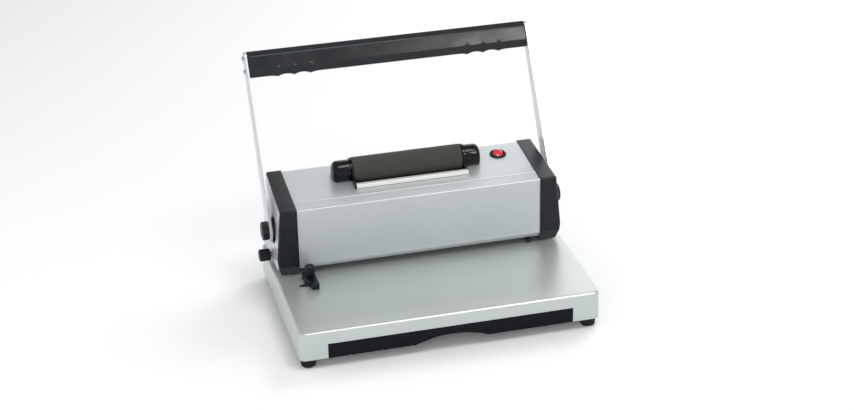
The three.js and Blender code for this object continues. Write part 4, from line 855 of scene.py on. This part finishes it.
# Button screw: a domed head of revolution whose socket, the last three points, follows a six-sided outline
def makeGripScrews(seat, top, radius, domeTop, shank, length, socketRim, socketFloor, socketDepth, spacing,
                   middle, rounds, sides):
    outer = rounded([(seat - length, 0), (seat - length, shank), (seat, shank), (seat, radius),
                     (top, domeTop), (top, socketRim)], rounds)
    profile = np.concatenate([outer, [(top - socketDepth, socketFloor), (top - socketDepth, 0)]])
    v, sixth = around(sides), fullTurn / 6
    hexagon = np.cos(sixth / 2) / np.cos(v % sixth - sixth / 2)
    reach = profile[:, 1:] * np.ones(sides)
    reach[-3:] *= hexagon
    grid = ringed(profile[:, :1], reach, v)
    for i, share in enumerate((-0.5, 0.5)):
        up = at(0, 0, middle + share * spacing)
        for side, place in bothSides(leverPlace):
            node = f"grip_screw_{i + 1}_{side}"
            screw = newPiece(pieceName(node), grid, gridFaces(*reach.shape), place @ up, sharp=30)
            finishPiece(screw, "bright_steel", node)


pivotKnobValues = {
    "seat": 0.1993, "top": 0.208, "radius": 0.0125, "footBevel": 0.0006, "topFall": 0.0008,
    "topInset": 0.0014, "ring": 0.0035, "draft": 0.0004, "recess": 0.0025, "boss": 0.0042,
    "bossDraft": 0.0005, "bossRise": 0.0012,
    "rounds": [0, 0.0003, 0.0003, 0.0006, 0.0006, 0.0005, 0.0006, 0.0003, 0.0003, 0],
    "ribs": 24, "ribDepth": 0.0007, "ribInner": 0.0116, "sides": 144,
}


def makePivotKnobs(seat, top, radius, footBevel, topFall, topInset, ring, draft, recess, boss, bossDraft,
                   bossRise, rounds, **ribbing):
    inner, floor = radius - ring, top - recess
    profile = rounded([(seat, 0), (seat, radius - footBevel), (seat + footBevel, radius),
                       (top - topFall, radius), (top, radius - topInset), (top, inner),
                       (floor, inner - draft), (floor, boss), (floor + bossRise, boss - bossDraft),
                       (floor + bossRise, 0)], rounds, 4)
    for side, place in bothSides(leverPlace):
        node = f"pivot_knob_{side}"
        finishPiece(turned(pieceName(node), profile, place, **ribbing), "black_plastic", node)


makeGrip(**gripShape)
makeKnobRings(**knobRingValues)
dressCopies(armEdges)
makeGripScrews(**screwValues)
makePivotKnobs(**pivotKnobValues)
print("lever dressed")


# Margin knob on the left end of its spindle

marginKnobValues = {
    "radius": 0.0083, "length": 0.0151, "socket": 0.0038, "socketDepth": 0.0079, "nearBevel": 0.0012,
    "farFall": 0.0008, "farInset": 0.001, "dish": 0.0008, "dishRim": 0.00581, "dishFloor": 0.005146,
    "rounds": [0, 0, 0.0004, 0.0005, 0.0005, 0.0006, 0.0006, 0.0005, 0.0005, 0],
    "ribs": 20, "ribDepth": 0.0006, "ribInner": 0.0074, "sides": 120,
}


def makeMarginKnob(radius, length, socket, socketDepth, nearBevel, farFall, farInset, dish, dishRim,
                   dishFloor, rounds, **ribbing):
    profile = rounded([(-socketDepth, 0), (-socketDepth, socket), (0, socket), (0, radius - nearBevel),
                       (-nearBevel, radius), (farFall - length, radius), (-length, radius - farInset),
                       (-length, dishRim), (dish - length, dishFloor), (dish - length, 0)], rounds, 4)
    low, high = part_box("margin_knob")
    place = at(high.x, (low.y + high.y) / 2, (low.z + high.z) / 2)
    finishPiece(turned("marginKnob", profile, place, **ribbing), "black_plastic", "margin_knob")


makeMarginKnob(**marginKnobValues)


# Roller unit: foam sleeve, housings, trough, switch

# waves: how often the skin swells round the turn, how fast along the length, and where it starts
sleeveValues = {"half": 0.0769, "right": 0.0748, "radius": 0.018, "inside": 0.0095, "edge": 0.0022,
                "faceInset": 0.0001, "ripple": 0.00012, "waves": [(3, 90, 0), (5, -140, 1.3), (2, 41, 2.1)],
                "rows": 120, "sides": 120}


# Foam sleeve: a tube with soft rims, shorter on the right; its skin wanders by ripple (1 + mean of the waves)
def makeSleeve(half, right, radius, inside, edge, faceInset, ripple, waves, rows, sides):
    t = np.linspace(0, quarter, 7)
    rim = np.stack([half - edge + edge * np.sin(t), radius - edge + edge * np.cos(t)], -1)
    skin = np.stack([np.linspace(edge - half, half - edge, rows), np.full(rows, radius)], -1)
    face = np.linspace(radius - edge, inside, 5)[1:]
    near = np.stack([np.full(4, half - faceInset), face], -1)
    line = np.concatenate([rim[:0:-1] * [-1, 1], skin, rim[1:], near, near[::-1] * [-1, 1]])
    along, reach = line[:, :1], line[:, 1:]
    along = np.where(along > 0, along * right / half, along)
    v = around(sides)
    wander = sum(np.sin(turns * v + speed * along + start) for turns, speed, start in waves) / len(waves)
    skinShare = np.clip((reach - radius + edge) / edge, 0, 1)
    reach = reach - ripple * skinShare * (1 + wander)
    sleeve = newPiece("foamSleeve", ringed(along, reach, v), gridFaces(*reach.shape, closeRows=True),
                      rollerPlace, sharp=50)
    finishPiece(sleeve, "foam", "roller_sleeve")


housingValues = {"inner": 0.0799, "outer": {"left": 0.1038, "right": 0.1012}, "radius": 0.015, "nose": 0.007,
                 "drop": 0.0077, "thickness": 0.0022, "axle": 0.0043, "lip": 0.0008, "crown": 1.05}


# Housing: along(u), radius(u) run from the axle hole over the arch to the round nose; across, an arch with
# straight skirts down to the top plate, y = -radius cos v, z = crown radius sin v
def makeHousing(side, place, inner, outer, radius, nose, drop, thickness, axle, lip, crown):
    outer = outer[side]
    t = np.linspace(0, quarter, 9)
    front = rounded([(inner, axle), (inner, radius), (outer - nose, radius)], [0, lip, 0])
    curve = np.stack([outer - nose + nose * np.sin(t), radius - nose + nose * np.cos(t)], -1)
    line = np.concatenate([front[:-1], curve, [(outer, (radius - nose) / 2), (outer, 0)]])
    v = np.linspace(0, halfTurn, 41)
    fall = np.array([1, 2 / 3, 1 / 3]) * drop
    across = np.r_[-np.ones(3), -np.cos(v), np.ones(3)]
    skirt = np.r_[-fall, np.zeros(len(v)), -fall[::-1]]
    rise = np.r_[np.zeros(3), np.sin(v), np.zeros(3)] * crown
    reach = line[:, 1:]
    level = np.broadcast_to(line[:, :1], (len(line), len(across)))
    grid = np.stack([level, reach * across, reach * rise + skirt], -1)
    node = f"roller_housing_{side}"
    housing = newPiece(pieceName(node), grid, gridFaces(*level.shape, closeColumns=False), place, sharp=40)
    wall = housing.modifiers.new("wall", "SOLIDIFY")
    wall.thickness = thickness
    wall.offset = -1
    wall.use_even_offset = False
    finishPiece(housing, "gloss_black", node)


troughEndValues = {"inner": {"left": 0.0776, "right": 0.0755}, "outer": 0.0796, "radius": 0.0175,
                   "lift": 0.0003, "toe": 0.0367, "toeTop": 0.0045, "heel": 0.0510, "axle": 0.0043,
                   "edge": 0.0004, "steps": 40}


# End plate: a ring between the axle's hole and an outline that is an arc over the roller, (back, up) = axis +
# radius (cos v, sin v), closed along the top plate; the left outline runs forward along the trough
def makeTroughEnd(side, place, inner, outer, radius, lift, toe, toeTop, heel, axle, edge, steps):
    back, rise = head["rollerBack"], head["rollerRise"]
    low = lift - rise
    v = np.linspace(math.atan2(low, math.sqrt(radius ** 2 - low ** 2)), halfTurn, steps)
    arc = radius * np.stack([np.cos(v), np.sin(v)], -1)
    foot = [(toe - back, toeTop - rise), (toe - back, low)] if side == "left" else [(heel - back, low)]
    outline = evened(np.concatenate([arc, foot, arc[:1]]), 2 * steps)[0][:-1]
    count = len(outline)
    rings = [(inner[side], outline), (outer, outline), (outer, axle * unit(outline)),
             (inner[side], axle * unit(outline))]
    grid = np.stack([np.column_stack([np.full(count, x), ring]) for x, ring in rings])
    node = f"trough_end_{side}"
    end = newPiece(pieceName(node), grid, gridFaces(4, count, closeRows=True), place)
    finishPiece(roundEdges(end, edge), "gloss_black", node)


troughPlateValues = {"front": (0.0367, 0.0006), "lip": (0.0379, 0.0056), "rear": (0.0498, 0.0014),
                     "fold": 0.0012, "sheet": 0.0012, "half": 0.0775, "edge": 0.0002}


# Trough plate: the line rises to the lip and falls back to the roller; the sheet lies beside it
def makeTroughPlate(front, lip, rear, fold, sheet, half, edge):
    line = rounded([front, lip, rear], [0, fold, 0], 6)
    outline = np.concatenate([line, (line + sheet * beside(line))[::-1]])
    plate = carried("troughPlate", outline, half, topPlace)
    # the plate's near-white is partly a painted reflection of the white surroundings
    finishPiece(roundEdges(plate, edge), "trough_metal", "trough_plate")


bezelValues = {"inner": 0.0092, "barrel": 0.010, "depth": 0.016, "radius": 0.0116, "seat": 0.0003,
               "brim": 0.0011, "top": 0.0023, "crown": 0.0104, "sides": 72,
               "rounds": [0.0003, 0.0003, 0, 0.0002, 0.0005, 0.0006, 0.0004]}


def makeBezel(inner, barrel, depth, radius, seat, brim, top, crown, sides, rounds):
    profile = rounded([(-depth, inner), (-depth, barrel), (seat, barrel), (seat, radius), (brim, radius),
                       (top, crown), (top, inner)], rounds, closed=True)
    bezel = turned("switchBezel", profile, switchPlace, "z", sides, closed=True)
    finishPiece(bezel, "gloss_black", "switch_bezel")


rockerValues = {"radius": 0.0072, "middle": 0.0023, "press": 17.0, "flatten": 0.35, "crown": 0.0016,
                "edge": 0.0007, "foot": 0.0058, "firstRing": 0.12, "rings": 14, "sides": 72}


# Rocker: height = middle + y tan(press) (1 - flatten (x / radius)^2) + crown (1 - (r / radius)^2), rounded
# off at the rim and closed underneath
def makeRocker(radius, middle, press, flatten, crown, edge, foot, firstRing, rings, sides):
    v = around(sides)
    share = np.r_[0, np.linspace(firstRing, 1, rings)][:, None]
    t = np.linspace(0, quarter, 5)[1:, None]
    reach = np.concatenate([share * (radius - edge), radius - edge + edge * np.sin(t), [[radius], [0]]])
    x, y = reach * np.cos(v), reach * np.sin(v)
    tilt = y * math.tan(math.radians(press)) * (1 - flatten * (x / radius) ** 2)
    face = (middle + tilt + crown * (1 - (reach / radius) ** 2))[:len(share)]
    z = np.concatenate([face, face[-1] - edge * (1 - np.cos(t)), np.full((2, sides), -foot)])
    rocker = newPiece("rockerLens", np.stack([x, y, z], -1), gridFaces(*x.shape), switchPlace, sharp=40)
    finishPiece(rocker, "red_lens", "switch_rocker")


makeSleeve(**sleeveValues)
for side, place in bothSides(rollerPlace):
    makeHousing(side, place, **housingValues)
    makeTroughEnd(side, place, **troughEndValues)
makeTroughPlate(**troughPlateValues)
makeBezel(**bezelValues)
makeRocker(**rockerValues)
print("roller and switch dressed")


# Rear: inlet with its blades, cover screws

inletEdges = {"power_inlet": (0.0004, "black_plastic")}

coverScrewValues = {"radius": 0.003, "height": 0.0014, "seat": 0.0004, "shoulder": 0.00056, "dome": 0.0018,
                    "socket": 0.0011, "socketFloor": 0.00088, "floorHeight": 0.00049,
                    "rounds": [0, 0, 0.0005, 0.0006, 0.0001, 0, 0], "sides": 32,
                    "columns": (-0.165, 0.0, 0.165), "rows": (0.010, 0.078)}


def makeCoverScrews(radius, height, seat, shoulder, dome, socket, socketFloor, floorHeight, rounds, sides,
                    columns, rows):
    profile = rounded([(-seat, 0), (-seat, radius), (shoulder, radius), (height, dome), (height, socket),
                       (floorHeight, socketFloor), (floorHeight, 0)], rounds, 4)
    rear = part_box("rear_cover")[1].y
    places = [(middleX + x, rear, baseHigh.z + z) for z in rows for x in columns]
    for i, point in enumerate(places):
        place = at(*point) @ Matrix.Rotation(-quarter, 4, "X")
        screw = turned(f"coverScrew{i + 1}", profile, place, "z", sides)
        finishPiece(screw, "bright_steel", body="frame")


dressCopies(inletEdges)
makeCoverScrews(**coverScrewValues)

# Solids that keep their own shape take their finish
keptSolids = {
    "dark_steel": ("base_plate", "side_frame_right", "side_frame_left", "die_bracket_right",
                   "die_bracket_left", "gear_motor"),
    "tool_steel": ("die_plate", "pin_guide", "ram_post_right", "ram_post_left", "punch_ram", "drive_shaft",
                   "pinion_right", "pinion_left", "margin_spindle", "margin_stop"),
    "bright_steel": ("return_spring_right", "return_spring_left"),
    "black_plastic": ("roller_core", "motor_pulley"),
    "black_rubber": ("drive_belt",),
    "supply_case": ("power_supply",),
}
for slot, members in keptSolids.items():
    for node in members:
        nodes[node].data.materials.clear()
        nodes[node].data.materials.append(finishes[slot])
print("inner solids dressed")


# Floor
def addFloor(size, color, roughness, specular, drift, driftScale):
    half = size / 2
    points = np.array([(-half, -half, 0), (half, -half, 0), (half, half, 0), (-half, half, 0)])
    floor = newPiece("floor", points, [(0, 1, 2, 3)], outward=False)
    material, tree, shader = newMaterial("floorPaper")
    tone = drifting(tree, shade(*color), driftScale, drift)
    setInputs(tree, shader, {"Base Color": tone, "Roughness": roughness, "Specular IOR Level": specular})
    floor.data.materials.append(material)


addFloor(**floorValues)

print("scene complete")
